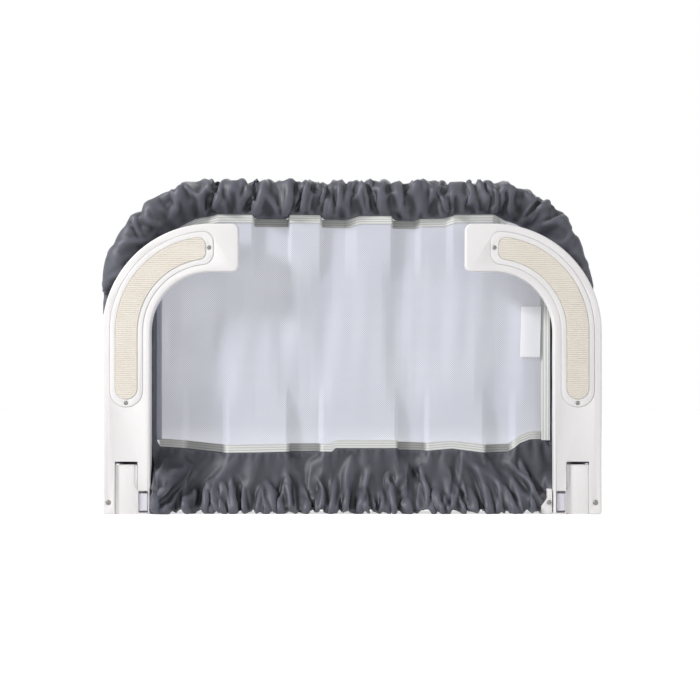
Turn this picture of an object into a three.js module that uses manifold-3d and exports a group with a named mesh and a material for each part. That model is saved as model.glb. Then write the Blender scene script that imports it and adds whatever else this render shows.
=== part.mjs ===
// Folding bed guard rail, stored: two L-shaped under-mattress arms folded up against a
// mesh guard whose rails telescope. Millimetres, +Z up, the arms on the -Y side.
// The origin is the middle of the footprint, on the surface that the guard stands on.
import * as THREE from "three";
import { mergeVertices } from "three/addons/utils/BufferGeometryUtils.js";
import Module from "manifold-3d";

const wasm = await Module();
wasm.setup();

// Clearances
const seatGap = 0.3; // between pieces that sit on each other
const runningGap = 0.4; // round a pin or a screw in its hole
const overrun = 1; // how far a cut reaches past the face that it opens
const weldDistance = 0.001; // points closer than this are one point

// Arms, seen from the front
const armX = 281.25; // middle of the upright limb, from the middle of the guard
const armWidth = 60;
const armBendZ = 227.5; // where the bend starts
const armBendRadius = 105; // on the centreline
const footLength = 35; // straight part of the foot after the bend
const footCorner = 8;
const armBaseCorner = 3;

// Arms, in depth
const armFaceY = -30;
const armDepth = 20;
const armWall = 2.5;
const armFrontWall = 5.2;
const coverThickness = 2.4;
const coverStartZ = 36; // below this the arm is solid
const ribThickness = 1.6;
const ribPitch = 42;

// Hinge at the foot of each arm
const hingeInset = 15; // the axis lies this far behind the arm's face and above the base
const knuckleRadius = 12;
const pinRadius = 3;
const slotTopZ = 62.8;
const tongueGap = 0.5; // each side of the tongue in the slot
const tongueTopGap = 2.3;
const tongueInset = 3; // the tongue lies this far behind the arm's face

// Release button in the inner prong
const windowEdge = 3.35; // from the arm's inner edge
const windowWall = 1; // between the window and the slot
const windowBottomZ = 2.2;
const windowTopZ = 28.6;
const windowDepth = 10.2;
const buttonTopGap = 3.2;
const buttonBottomGap = 1.4;
const buttonInset = 1.5;
const buttonDepth = 5;
const buttonBoreShare = 0.49; // of half the button's width
const buttonBoreDepth = 3;
const springWire = 0.35;
const springGap = 0.35; // round the spring in the button
const springTurns = 3;

// Non-slip pad and its bezel, measured along the arm's centreline
const padHalf = 13.5;
const padStart = 144;
const padEnd = 386;
const padTipRadius = 9;
const padProud = 1;
const bezelHalf = 20.5;
const bezelMargin = 10; // beyond the pad at both ends
const bezelTipRadius = 13;
const bezelRecess = 2.3;
const bezelProud = 0.4;

// Screws
const screwHead = 3;
const screwHeadHeight = 1.6;
const screwShaft = 1.4;
const screwLength = 11;
const smallHead = 2.3;
const smallHeadHeight = 1.2;
const smallShaft = 1.1;
const smallLength = 6;
const bossRadius = 4.2;
const crossWidth = 0.7;
const crossDepth = 0.8;

// Frame tubes
const frameY = 13; // the plane of the tubes and the mesh
const tubeRadius = 11;
const tubeWall = 1.4;
const slimRadius = 8.9;
const slimWall = 1.2;
const frameBend = 100;
const topRailZ = 400;
const bottomRailZ = 15.5;
const topJoinX = 150; // where the right corner tube ends
const bottomJoinX = 190; // where the outer bottom tube ends
const railTravel = 280;
const leastOverlap = 40; // of the tubes at full width
const collarRadius = 12.5;
const collarLength = 24;
const collarLip = 2.4;

// Corner bracket
const bracketReach = 15.25; // inwards past the arm's inner edge
const bracketFrontY = 2.5;
const bracketRearY = 29;
const bracketHeight = 31;
const backThickness = 2.3;
const socketFloorZ = 6;
const socketWall = 2.3; // of the post's socket, in the tongue
const railSocketDepth = 24;
const earFrontY = -24;
const earGap = 1.35; // between the ear and the arm
const earLedge = 5.5; // width of the ear above its slope
const earFootZ = 10;
const earSlopeZ = 19;
const tongueStep = 4; // the tongue is this much narrower above its shoulder
const tongueShoulderZ = 30;

// Fabric
const clothWall = 1;
const netThickness = 1;
const tapeThickness = 0.8;
const tapeWidth = 10;
const sleeveEase = 3.5; // least room between a tube and its sleeve
const gatherDepth = 3.5; // how far the gathers stand out
const topOut = 15.5; // the top sleeve above the rail's axis
const topIn = 30; // and below it, to the seam
const cornerOut = 13.2;
const sideOut = 29.75; // the side sleeve beyond the post's axis
const sideIn = 37.45; // and inside it, to the seam
const bandTopZ = 80; // seam of the bottom sleeve
const bandGroundGap = 0.5;
const bandEndGap = 2;
const tabReach = 22; // how far the bottom band runs on above the bracket
const sideStartZ = 82;
const foldDepth = 5; // of the net's broad folds
const foldPitch = 73;
const foldFade = 55; // the folds die out this far from the side seams
const flapStart = 12; // of the flap over the left ear, before the band's end
const flapFront = 4; // of the flap before the ear
const flapThickness = 1.6;
const flapTopZ = 62;
const sideTapeIn = 7.55; // the side tape, inside the sleeve's seam
const sideTapeOut = 4.45; // and over the sleeve

// Plain sewn patch near the right seam
const patchX = 220.6;
const patchWidth = 23.8;
const patchLowZ = 196;
const patchHighZ = 264;
const patchThickness = 0.6;
const pinkDepth = 2.4;

// Counts
const tubeSides = 12;
const clothSides = 10;
const roundSides = 16;
const screwSides = 8;
const cornerSteps = 4;
const bendSteps = 12;
const frameBendSteps = 8;
const topFolds = 12;
const bottomFolds = 12;
const stationsPerFold = 4;
const netColumns = 54;
const netRows = 4;
const pinkTeeth = 5;

// Places that follow from the sizes above
const armRearY = armFaceY + armDepth;
const shellRearY = armRearY - coverThickness - seatGap;
const armBendX = armX - armBendRadius;
const quarterTurn = Math.PI / 2;
const armLength = armBendZ + armBendRadius * quarterTurn + footLength;
const armInnerX = armX - armWidth / 2;
const armOuterX = armX + armWidth / 2;
const hingeY = armFaceY + hingeInset;
const hingeZ = hingeInset;
const slotWidth = 2 * (tubeRadius + seatGap * 1.5 + socketWall + tongueGap);
const prongWidth = (armWidth - slotWidth) / 2;
const slotInnerX = armX - slotWidth / 2;
const slotOuterX = armX + slotWidth / 2;
const tongueTopZ = slotTopZ - tongueTopGap;
const windowWidth = prongWidth - windowEdge - windowWall;
const windowX = armInnerX + windowEdge;
const pocketFloorY = armFaceY + windowDepth;
const bezelFloorY = armFaceY + bezelRecess;
const bracketInnerX = armInnerX - bracketReach;
const earUpperX = armInnerX - earGap - earLedge;
const bracketBodyRearY = bracketRearY - backThickness - seatGap;
const frameBendX = armX - frameBend;
const frameBendZ = topRailZ - frameBend;
const sleeveHalfDepth = tubeRadius + sleeveEase;
const netTopZ = topRailZ - topIn - seatGap;
const netBottomZ = bandTopZ + seatGap;
const seamX = armX - sideIn;
const netHalfWidth = seamX - seatGap;
const bandEndX = bracketInnerX - bandEndGap;
const ringReachShare = 1 / Math.cos(Math.PI / clothSides);
const teardropShare = 0.6;

// Finishes
function finish(color, roughness, metalness = 0) {
  return new THREE.MeshStandardMaterial({ color, roughness, metalness });
}
const whitePlastic = () => finish(0xeeecec, 0.45);
const buttonPlastic = () => finish(0xdcdae2, 0.4);
const beigeRubber = () => finish(0xe3dccd, 0.8);
const darkCloth = () => finish(0x4a4b50, 0.65);
const greyTape = () => finish(0xb9bbbb, 0.8);
const netCloth = () => finish(0xd0d3e2, 0.8);
const patchCloth = () => finish(0xe7eaf2, 0.75);
const steel = () => finish(0x8a8a88, 0.35, 1);
const painted = () => finish(0xd9d9d9, 0.4, 0.2);

// Solids for cutting and joining
function solid(geometry) {
  const plain = geometry.clone();
  plain.deleteAttribute("normal");
  plain.deleteAttribute("uv");
  const merged = mergeVertices(plain, weldDistance);
  const vertProperties = merged.attributes.position.array;
  const triVerts = new Uint32Array(merged.index.array);
  return new wasm.Manifold(new wasm.Mesh({ numProp: 3, vertProperties, triVerts }));
}

function join(first, ...others) {
  return others.reduce((whole, other) => whole.add(solid(other)), first);
}

function cut(first, ...others) {
  return others.reduce((whole, other) => whole.subtract(solid(other)), first);
}

function geometryOf(shape) {
  const mesh = shape.getMesh();
  const geometry = new THREE.BufferGeometry();
  geometry.setAttribute("position", new THREE.BufferAttribute(mesh.vertProperties, 3));
  geometry.setIndex(new THREE.BufferAttribute(mesh.triVerts, 1));
  return geometry;
}

// Simple bodies, each given by the planes that bound it
function block(x0, x1, y0, y1, z0, z1) {
  const box = new THREE.BoxGeometry(x1 - x0, y1 - y0, z1 - z0);
  return box.translate((x0 + x1) / 2, (y0 + y1) / 2, (z0 + z1) / 2);
}

function rodAlongX(y, z, radius, x0, x1, sides = roundSides) {
  const rod = new THREE.CylinderGeometry(radius, radius, x1 - x0, sides);
  return rod.rotateZ(quarterTurn).translate((x0 + x1) / 2, y, z);
}

function rodAlongY(x, z, radius, y0, y1, sides = roundSides) {
  const rod = new THREE.CylinderGeometry(radius, radius, y1 - y0, sides);
  return rod.translate(x, (y0 + y1) / 2, z);
}

function rodAlongZ(x, y, radius, z0, z1, sides = roundSides) {
  const rod = new THREE.CylinderGeometry(radius, radius, z1 - z0, sides);
  return rod.rotateX(quarterTurn).translate(x, y, (z0 + z1) / 2);
}

// A plate whose outline is drawn in x and z, from its front plane to its rear plane
function plate(outline, frontY, rearY) {
  const depth = rearY - frontY;
  const body = new THREE.ExtrudeGeometry(outline, { depth, bevelEnabled: false });
  return body.rotateX(quarterTurn).translate(0, rearY, 0);
}

// The arm's centreline at a distance from its base, and the way to its outer edge
function armPoint(distance) {
  const past = distance - armBendZ;
  const angle = THREE.MathUtils.clamp(past / armBendRadius, 0, quarterTurn);
  const down = Math.min(past, 0);
  const along = Math.max(past - armBendRadius * quarterTurn, 0);
  return {
    x: armBendX + armBendRadius * Math.cos(angle) - along,
    z: armBendZ + armBendRadius * Math.sin(angle) + down,
    outX: Math.cos(angle),
    outZ: Math.sin(angle),
  };
}

// A band round the arm's centreline with rounded corners at both ends
function armBand(half, start, end, startRadius, endRadius) {
  const stations = [];
  for (let i = 0; i <= cornerSteps; i++) {
    const angle = (i / cornerSteps) * quarterTurn;
    const reach = startRadius * (1 - Math.cos(angle));
    stations.push([start + reach, half - startRadius * (1 - Math.sin(angle))]);
  }
  for (let i = 0; i <= bendSteps; i++) {
    const distance = armBendZ + (i / bendSteps) * armBendRadius * quarterTurn;
    const between = distance > start + startRadius && distance < end - endRadius;
    if (between) stations.push([distance, half]);
  }
  for (let i = cornerSteps; i >= 0; i--) {
    const angle = (i / cornerSteps) * quarterTurn;
    const reach = endRadius * (1 - Math.cos(angle));
    stations.push([end - reach, half - endRadius * (1 - Math.sin(angle))]);
  }
  const side = (sign) =>
    stations.map(([distance, offset]) => {
      const at = armPoint(distance);
      return new THREE.Vector2(at.x + sign * offset * at.outX, at.z + sign * offset * at.outZ);
    });
  const outline = [...side(1), ...side(-1).reverse()];
  const distinct = outline.filter((point, i) => {
    const before = outline[(i + outline.length - 1) % outline.length];
    return point.distanceTo(before) > weldDistance;
  });
  return new THREE.Shape(distinct);
}

// A hollow body through rings of points, each ring turning right-handed about the way ahead
function hollowLoft(outer, inner) {
  const count = outer[0].length;
  const last = outer.length - 1;
  const positions = [...outer.flat(), ...inner.flat()].flatMap((p) => [p.x, p.y, p.z]);
  const index = [];
  const out = (k, i) => k * count + (i % count);
  const inn = (k, i) => (outer.length + k) * count + (i % count);
  for (let i = 0; i < count; i++) {
    for (let k = 0; k < last; k++) {
      index.push(out(k, i), out(k, i + 1), out(k + 1, i + 1));
      index.push(out(k, i), out(k + 1, i + 1), out(k + 1, i));
      index.push(inn(k, i), inn(k + 1, i + 1), inn(k, i + 1));
      index.push(inn(k, i), inn(k + 1, i), inn(k + 1, i + 1));
    }
    index.push(out(0, i), inn(0, i), inn(0, i + 1));
    index.push(out(0, i), inn(0, i + 1), out(0, i + 1));
    index.push(out(last, i), out(last, i + 1), inn(last, i + 1));
    index.push(out(last, i), inn(last, i + 1), inn(last, i));
  }
  return indexed(positions, index);
}

// A filled body through such rings
function filledLoft(rings) {
  const count = rings[0].length;
  const last = rings.length - 1;
  const middle = (ring) => ring.reduce((sum, p) => sum.add(p), new THREE.Vector3()).divideScalar(count);
  const points = [...rings.flat(), middle(rings[0]), middle(rings[last])];
  const first = rings.length * count;
  const at = (k, i) => k * count + (i % count);
  const index = [];
  for (let i = 0; i < count; i++) {
    for (let k = 0; k < last; k++) {
      index.push(at(k, i), at(k, i + 1), at(k + 1, i + 1));
      index.push(at(k, i), at(k + 1, i + 1), at(k + 1, i));
    }
    index.push(first, at(0, i + 1), at(0, i));
    index.push(first + 1, at(last, i), at(last, i + 1));
  }
  return indexed(points.flatMap((p) => [p.x, p.y, p.z]), index);
}

function indexed(positions, index) {
  const geometry = new THREE.BufferGeometry();
  geometry.setAttribute("position", new THREE.Float32BufferAttribute(positions, 3));
  geometry.setIndex(index);
  return geometry;
}

// A sheet seen from the front: place gives the middle of the cloth at a column and a row
function sheet(columns, rows, thickness, place) {
  const front = [];
  const rear = [];
  for (let j = 0; j <= rows; j++) {
    for (let i = 0; i <= columns; i++) {
      const at = place(i, j);
      front.push([at.x, at.y - thickness / 2, at.z]);
      rear.push([at.x, at.y + thickness / 2, at.z]);
    }
  }
  const width = columns + 1;
  const behind = front.length;
  const index = [];
  for (let j = 0; j < rows; j++) {
    for (let i = 0; i < columns; i++) {
      const a = j * width + i;
      const b = a + 1;
      const c = b + width;
      const d = a + width;
      index.push(a, b, c, a, c, d);
      index.push(behind + a, behind + c, behind + b, behind + a, behind + d, behind + c);
    }
  }
  const border = [];
  for (let i = 0; i < columns; i++) border.push(i);
  for (let j = 0; j < rows; j++) border.push(j * width + columns);
  for (let i = columns; i > 0; i--) border.push(rows * width + i);
  for (let j = rows; j > 0; j--) border.push(j * width);
  border.forEach((a, k) => {
    const b = border[(k + 1) % border.length];
    index.push(a, behind + a, behind + b, a, behind + b, b);
  });
  return indexed([...front, ...rear].flat(), index);
}

// Screws, made with the head towards -Y and its underside at the origin
function screw(head, headHeight, shaft, length) {
  const domeShare = 0.6;
  const rimShare = 0.55;
  const crossShare = 0.54;
  const profile = [
    new THREE.Vector2(0, -headHeight),
    new THREE.Vector2(head * domeShare, -headHeight),
    new THREE.Vector2(head, -headHeight * rimShare),
    new THREE.Vector2(head, 0),
    new THREE.Vector2(shaft, 0),
    new THREE.Vector2(shaft, length - shaft),
    new THREE.Vector2(0, length),
  ];
  const arm = head * crossShare;
  const wing = crossWidth / 2;
  const top = -headHeight - overrun;
  const floor = crossDepth - headHeight;
  return cut(
    solid(new THREE.LatheGeometry(profile, screwSides)),
    block(-arm, arm, top, floor, -wing, wing),
    block(-wing, wing, top, floor, -arm, arm),
  );
}

function bigScrew() {
  return geometryOf(screw(screwHead, screwHeadHeight, screwShaft, screwLength));
}

function smallScrew() {
  return geometryOf(screw(smallHead, smallHeadHeight, smallShaft, smallLength));
}

// Arm: front shell, rear cover, bezel and pad
const coverScrewPlaces = [armPoint(coverStartZ + bezelMargin * 5), armPoint(armLength - footLength / 2)];
const padScrewPlaces = [armPoint(padStart - bezelMargin / 2), armPoint(padEnd + bezelMargin / 2)];
const prongScrewX = (slotOuterX + armOuterX) / 2;
const bezelStart = padStart - bezelMargin;
const bezelEnd = padEnd + bezelMargin;
const pinEndX = prongScrewX - screwHead - pinRadius / 2;

function slotBlock() {
  return block(
    slotInnerX,
    slotOuterX,
    armFaceY - overrun,
    hingeY + knuckleRadius + overrun,
    -overrun,
    slotTopZ,
  );
}

function armShell() {
  const half = armWidth / 2;
  const hollowY = armFaceY + armFrontWall;
  const hollowStart = slotTopZ + armWall * 2;
  const hollowCorner = footCorner - armWall;
  const outside = plate(armBand(half, 0, armLength, armBaseCorner, footCorner), armFaceY, shellRearY);
  const root = plate(armBand(half, 0, coverStartZ - seatGap, armBaseCorner, 0), armFaceY, armRearY);
  const knuckle = rodAlongX(hingeY, hingeZ, knuckleRadius, armInnerX, armOuterX, roundSides);
  const hollow = plate(
    armBand(half - armWall, hollowStart, armLength - armWall, hollowCorner, hollowCorner),
    hollowY,
    shellRearY + overrun,
  );
  let shell = cut(join(solid(outside), root, knuckle), hollow);
  for (let z = hollowStart + ribPitch; z < armBendZ; z += ribPitch) {
    const rib = block(
      armInnerX + armWall / 2,
      armOuterX - armWall / 2,
      hollowY - overrun,
      shellRearY - armWall,
      z - ribThickness / 2,
      z + ribThickness / 2,
    );
    shell = join(shell, rib);
  }
  for (const at of coverScrewPlaces) {
    const boss = rodAlongY(at.x, at.z, bossRadius, hollowY - overrun, shellRearY, screwSides);
    const hole = rodAlongY(at.x, at.z, screwShaft + runningGap, hollowY, shellRearY + overrun, screwSides);
    shell = cut(join(shell, boss), hole);
  }
  for (const at of padScrewPlaces) {
    const bossRear = bezelFloorY + smallLength;
    const boss = rodAlongY(at.x, at.z, bossRadius, hollowY - overrun, bossRear, screwSides);
    const hole = rodAlongY(
      at.x,
      at.z,
      smallShaft + runningGap,
      armFaceY - overrun,
      bossRear + overrun,
      screwSides,
    );
    shell = cut(join(shell, boss), hole);
  }
  const bed = plate(
    armBand(
      bezelHalf + seatGap,
      bezelStart - seatGap,
      bezelEnd + seatGap,
      bezelHalf + seatGap,
      bezelTipRadius + seatGap,
    ),
    armFaceY - overrun,
    bezelFloorY,
  );
  const window = block(
    windowX,
    windowX + windowWidth,
    armFaceY - overrun,
    pocketFloorY,
    windowBottomZ,
    windowTopZ,
  );
  const pinHole = rodAlongX(
    hingeY,
    hingeZ,
    pinRadius + runningGap,
    armInnerX - overrun,
    pinEndX + runningGap,
  );
  const screwHole = rodAlongY(
    prongScrewX,
    hingeZ,
    screwShaft + runningGap,
    armFaceY - overrun,
    armFaceY + screwHeadHeight + screwLength + runningGap,
    screwSides,
  );
  const screwSeat = rodAlongY(
    prongScrewX,
    hingeZ,
    screwHead + runningGap,
    armFaceY - overrun,
    armFaceY + screwHeadHeight,
  );
  return geometryOf(cut(shell, slotBlock(), bed, window, pinHole, screwHole, screwSeat));
}

function armCover() {
  const outline = armBand(armWidth / 2, coverStartZ, armLength, 0, footCorner);
  const body = solid(plate(outline, armRearY - coverThickness, armRearY));
  const holes = coverScrewPlaces.map((at) =>
    rodAlongY(at.x, at.z, screwShaft + runningGap, shellRearY, armRearY + overrun, screwSides),
  );
  return geometryOf(cut(body, slotBlock(), ...holes));
}

function padBezel() {
  const outline = armBand(bezelHalf, bezelStart, bezelEnd, bezelHalf, bezelTipRadius);
  const frontY = armFaceY - bezelProud;
  const rearY = bezelFloorY - seatGap;
  const opening = armBand(
    padHalf + seatGap,
    padStart - seatGap,
    padEnd + seatGap,
    padHalf + seatGap,
    padTipRadius + seatGap,
  );
  const holes = padScrewPlaces.map((at) =>
    rodAlongY(at.x, at.z, smallShaft + runningGap, frontY - overrun, rearY + overrun, screwSides),
  );
  const seats = padScrewPlaces.map((at) =>
    rodAlongY(
      at.x,
      at.z,
      smallHead + runningGap,
      frontY - overrun,
      frontY + smallHeadHeight + seatGap,
      screwSides,
    ),
  );
  const ring = cut(solid(plate(outline, frontY, rearY)), plate(opening, frontY - overrun, rearY + overrun));
  return geometryOf(cut(ring, ...holes, ...seats));
}

function gripPad() {
  const outline = armBand(padHalf, padStart, padEnd, padHalf, padTipRadius);
  return plate(outline, armFaceY - padProud, bezelFloorY - seatGap);
}

// Release button and its spring
const buttonX = windowX + windowWidth / 2;
const buttonLowZ = windowBottomZ + buttonBottomGap;
const buttonHighZ = windowTopZ - buttonTopGap;
const buttonZ = (buttonLowZ + buttonHighZ) / 2;
const buttonFrontY = armFaceY + buttonInset;
const buttonRearY = buttonFrontY + buttonDepth;
const buttonHalf = windowWidth / 2 - runningGap;
const buttonBore = buttonHalf * buttonBoreShare;
const springRadius = buttonBore - springWire - springGap; // to the middle of the wire

function releaseButton() {
  const body = block(
    buttonX - buttonHalf,
    buttonX + buttonHalf,
    buttonFrontY,
    buttonRearY,
    buttonLowZ,
    buttonHighZ,
  );
  const bore = rodAlongY(
    buttonX,
    buttonZ,
    buttonBore,
    buttonRearY - buttonBoreDepth,
    buttonRearY + overrun,
    screwSides,
  );
  return geometryOf(cut(solid(body), bore));
}

// One unbroken wire of 8 steps a turn and 5 sides
function buttonSpring() {
  const startY = buttonRearY - buttonBoreDepth + seatGap + springWire;
  const endY = pocketFloorY - seatGap - springWire;
  const steps = springTurns * 8;
  const sides = 5;
  const rings = [];
  for (let k = 0; k <= steps; k++) {
    const turn = (k / steps) * springTurns * Math.PI * 2;
    const y = startY + (k / steps) * (endY - startY);
    const out = new THREE.Vector3(Math.cos(turn), 0, -Math.sin(turn));
    const ring = [];
    for (let i = 0; i < sides; i++) {
      const angle = (i / sides) * Math.PI * 2;
      const offset = springRadius + springWire * Math.cos(angle);
      const point = out.clone().multiplyScalar(offset);
      point.add(new THREE.Vector3(buttonX, y - springWire * Math.sin(angle), buttonZ));
      ring.push(point);
    }
    rings.push(ring);
  }
  return filledLoft(rings);
}

// Bracket: post socket, rail socket, hinge tongue and ear
const tongueInnerX = slotInnerX + tongueGap;
const tongueOuterX = slotOuterX - tongueGap;
const pinStartX = earUpperX + screwHead + runningGap;
const lugScrewX = earUpperX + screwShaft;
const backScrewXs = [
  (bracketInnerX + railSocketDepth + armX - tubeRadius) / 2,
  prongScrewX,
];

function earShape() {
  const outerX = armInnerX - earGap;
  return new THREE.Shape([
    new THREE.Vector2(outerX, 0),
    new THREE.Vector2(outerX, bracketHeight),
    new THREE.Vector2(earUpperX, bracketHeight),
    new THREE.Vector2(earUpperX, earSlopeZ),
    new THREE.Vector2(bracketInnerX, earFootZ),
    new THREE.Vector2(bracketInnerX, 0),
  ]);
}

function tongueShape() {
  return new THREE.Shape([
    new THREE.Vector2(tongueInnerX, 0),
    new THREE.Vector2(tongueOuterX, 0),
    new THREE.Vector2(tongueOuterX, tongueTopZ),
    new THREE.Vector2(tongueInnerX + tongueStep, tongueTopZ),
    new THREE.Vector2(tongueInnerX + tongueStep, tongueShoulderZ + tongueStep * 2),
    new THREE.Vector2(tongueInnerX, tongueShoulderZ),
  ]);
}

function bracket(railRadius) {
  const rearY = bracketBodyRearY;
  const base = block(bracketInnerX, armOuterX, bracketFrontY, rearY, 0, bracketHeight);
  const ear = plate(earShape(), earFrontY, bracketFrontY + overrun);
  const tongue = plate(tongueShape(), armFaceY + tongueInset, 0);
  const socket = block(tongueInnerX, tongueOuterX, -overrun, rearY, 0, tongueTopZ);
  const postBore = rodAlongZ(
    armX,
    frameY,
    tubeRadius + seatGap * 1.5,
    socketFloorZ,
    tongueTopZ + overrun,
    tubeSides * 2,
  );
  const railBore = rodAlongX(
    frameY,
    bottomRailZ,
    railRadius + seatGap * 1.5,
    bracketInnerX - overrun,
    bracketInnerX + railSocketDepth,
    tubeSides * 2,
  );
  const pinHole = rodAlongX(
    hingeY,
    hingeZ,
    pinRadius + runningGap,
    pinStartX - runningGap,
    tongueOuterX + overrun,
  );
  const lugHole = rodAlongY(
    lugScrewX,
    hingeZ,
    screwShaft + seatGap,
    earFrontY - overrun,
    earFrontY + screwLength + runningGap,
    screwSides,
  );
  const backHoles = backScrewXs.map((x) =>
    rodAlongY(
      x,
      bottomRailZ,
      screwShaft + runningGap,
      bracketRearY - screwLength - runningGap,
      rearY + overrun,
      screwSides,
    ),
  );
  const body = join(solid(base), ear, tongue, socket);
  return geometryOf(cut(body, postBore, railBore, pinHole, lugHole, ...backHoles));
}

function bracketBack() {
  const frontY = bracketBodyRearY + seatGap;
  const low = block(bracketInnerX, armOuterX, frontY, bracketRearY, 0, bracketHeight);
  const high = block(tongueInnerX, tongueOuterX, frontY, bracketRearY, 0, tongueTopZ);
  const holes = backScrewXs.map((x) =>
    rodAlongY(
      x,
      bottomRailZ,
      screwShaft + runningGap,
      frontY - overrun,
      bracketRearY + overrun,
      screwSides,
    ),
  );
  return geometryOf(cut(join(solid(low), high), ...holes));
}

function hingePin() {
  return rodAlongX(hingeY, hingeZ, pinRadius, pinStartX, pinEndX);
}

// A place on the frame's centreline: the post, the bend, then the rail to a stated x
function framePlace(angle, x, z) {
  const out = new THREE.Vector3(Math.cos(angle), 0, Math.sin(angle));
  return { centre: new THREE.Vector3(x, frameY, z), out };
}

function bendPlace(share) {
  const angle = share * quarterTurn;
  const x = frameBendX + frameBend * Math.cos(angle);
  return framePlace(angle, x, frameBendZ + frameBend * Math.sin(angle));
}

function frameRoute(endX) {
  const route = [framePlace(0, armX, socketFloorZ + seatGap)];
  for (let i = 0; i <= frameBendSteps; i++) route.push(bendPlace(i / frameBendSteps));
  route.push(framePlace(quarterTurn, endX, topRailZ));
  return route;
}

function circleRing(place, radius) {
  const ring = [];
  for (let i = 0; i < tubeSides; i++) {
    const angle = ((i + 0.5) / tubeSides) * Math.PI * 2;
    const point = place.centre.clone();
    point.addScaledVector(place.out, radius * Math.cos(angle));
    point.y += radius * Math.sin(angle);
    ring.push(point);
  }
  return ring;
}

function cornerTube(endX) {
  const route = frameRoute(endX);
  const outer = route.map((place) => circleRing(place, tubeRadius));
  const inner = route.map((place) => circleRing(place, tubeRadius - tubeWall));
  return hollowLoft(outer, inner);
}

function straightTube(z, radius, wall, x0, x1) {
  const route = [framePlace(quarterTurn, x1, z), framePlace(quarterTurn, x0, z)];
  const outer = route.map((place) => circleRing(place, radius));
  const inner = route.map((place) => circleRing(place, radius - wall));
  return hollowLoft(outer, inner);
}

// A collar round the outer tube's end, with a lip that guides the slim tube
function collar(z, tubeEndX) {
  const outside = rodAlongX(
    frameY,
    z,
    collarRadius,
    tubeEndX - collarLength,
    tubeEndX + collarLip,
    tubeSides * 2,
  );
  const tubeBore = rodAlongX(
    frameY,
    z,
    tubeRadius + seatGap,
    tubeEndX - collarLength - overrun,
    tubeEndX + seatGap,
    tubeSides * 2,
  );
  const slimBore = rodAlongX(
    frameY,
    z,
    slimRadius + seatGap,
    tubeEndX,
    tubeEndX + collarLip + overrun,
    tubeSides * 2,
  );
  return geometryOf(cut(solid(outside), tubeBore, slimBore));
}

// The net's broad folds, shared by everything sewn to it
function netFold(x) {
  const edge = Math.max(netHalfWidth - Math.abs(x), 0);
  const fade = THREE.MathUtils.smoothstep(edge, 0, foldFade);
  const phase = (x / foldPitch) * Math.PI * 2;
  const mainShare = 0.72;
  const sideShare = 0.28;
  const wave = mainShare * Math.sin(phase) + sideShare * Math.sin(phase * 1.7 + 1);
  return foldDepth * fade * wave;
}

function netColumnX(i) {
  return netHalfWidth * ((2 * i) / netColumns - 1);
}

// The net's upper edge runs round inside the frame's bends
function netEdgeZ(x) {
  const past = Math.max(Math.abs(x) - frameBendX, 0);
  const share = Math.min(past / (netHalfWidth - frameBendX), 1);
  return frameBendZ + (netTopZ - frameBendZ) * Math.sqrt(1 - share * share);
}

// From the middle of a frame bend to the sleeve's seam, an oval between the straight seams
function seamRadius(angle) {
  const across = seamX - frameBendX;
  const up = topRailZ - topIn - frameBendZ;
  return (across * up) / Math.hypot(up * Math.cos(angle), across * Math.sin(angle));
}

function meshPanel() {
  return sheet(netColumns, netRows, netThickness, (i, j) => {
    const x = netColumnX(i);
    const top = netEdgeZ(x);
    return { x, y: frameY + netFold(x), z: netBottomZ + (j / netRows) * (top - netBottomZ) };
  });
}

// Tape in front of the net, on the net's own columns
function seamTape(first, last, lowZ) {
  const y0 = frameY - netThickness / 2 - seatGap - tapeThickness / 2;
  return sheet(last - first, 1, tapeThickness, (i, j) => {
    const x = netColumnX(first + i);
    return { x, y: y0 + netFold(x), z: lowZ + j * tapeWidth };
  });
}

function topTape() {
  const first = Math.ceil(((netHalfWidth - frameBendX) / netHalfWidth) * (netColumns / 2));
  return seamTape(first, netColumns - first, netTopZ - tapeWidth);
}

function bottomTape() {
  const last = Math.floor(((netHalfWidth + seamX - sideTapeIn) / (2 * netHalfWidth)) * netColumns);
  return seamTape(0, last, netBottomZ);
}

// One ring of a sleeve: how far it reaches out and in from the tube's axis, its half
// depth, and how far its seam is moved by the net's fold
function sleeveRing(place, out, inward, half, seamShift) {
  const ring = [];
  for (let i = 0; i < clothSides; i++) {
    const angle = ((i + 0.5) / clothSides) * Math.PI * 2;
    const reach = Math.cos(angle) * ringReachShare;
    const seam = Math.max(-reach, 0) ** 2;
    const depth = half * Math.sin(angle) * (1 - teardropShare * seam);
    const point = place.centre.clone();
    point.addScaledVector(place.out, reach * (reach > 0 ? out : inward));
    point.y += depth + seamShift * seam;
    ring.push(point);
  }
  return ring;
}

function sleeve(stations) {
  const outer = stations.map((s) => sleeveRing(s.place, s.out, s.inward, s.half, s.shift));
  const inner = stations.map((s) =>
    sleeveRing(s.place, s.out - clothWall, s.inward - clothWall, s.half - clothWall, s.shift),
  );
  return { outer, inner };
}

// A gather's share of its full depth: crest, flank, valley, flank along the stations
function gatherShare(k) {
  const slowShare = 0.25;
  const phase = (k / stationsPerFold) * Math.PI * 2;
  return (1 - slowShare) * (0.5 + 0.5 * Math.cos(phase)) + slowShare * (0.5 + 0.5 * Math.cos(phase / 6));
}

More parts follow.
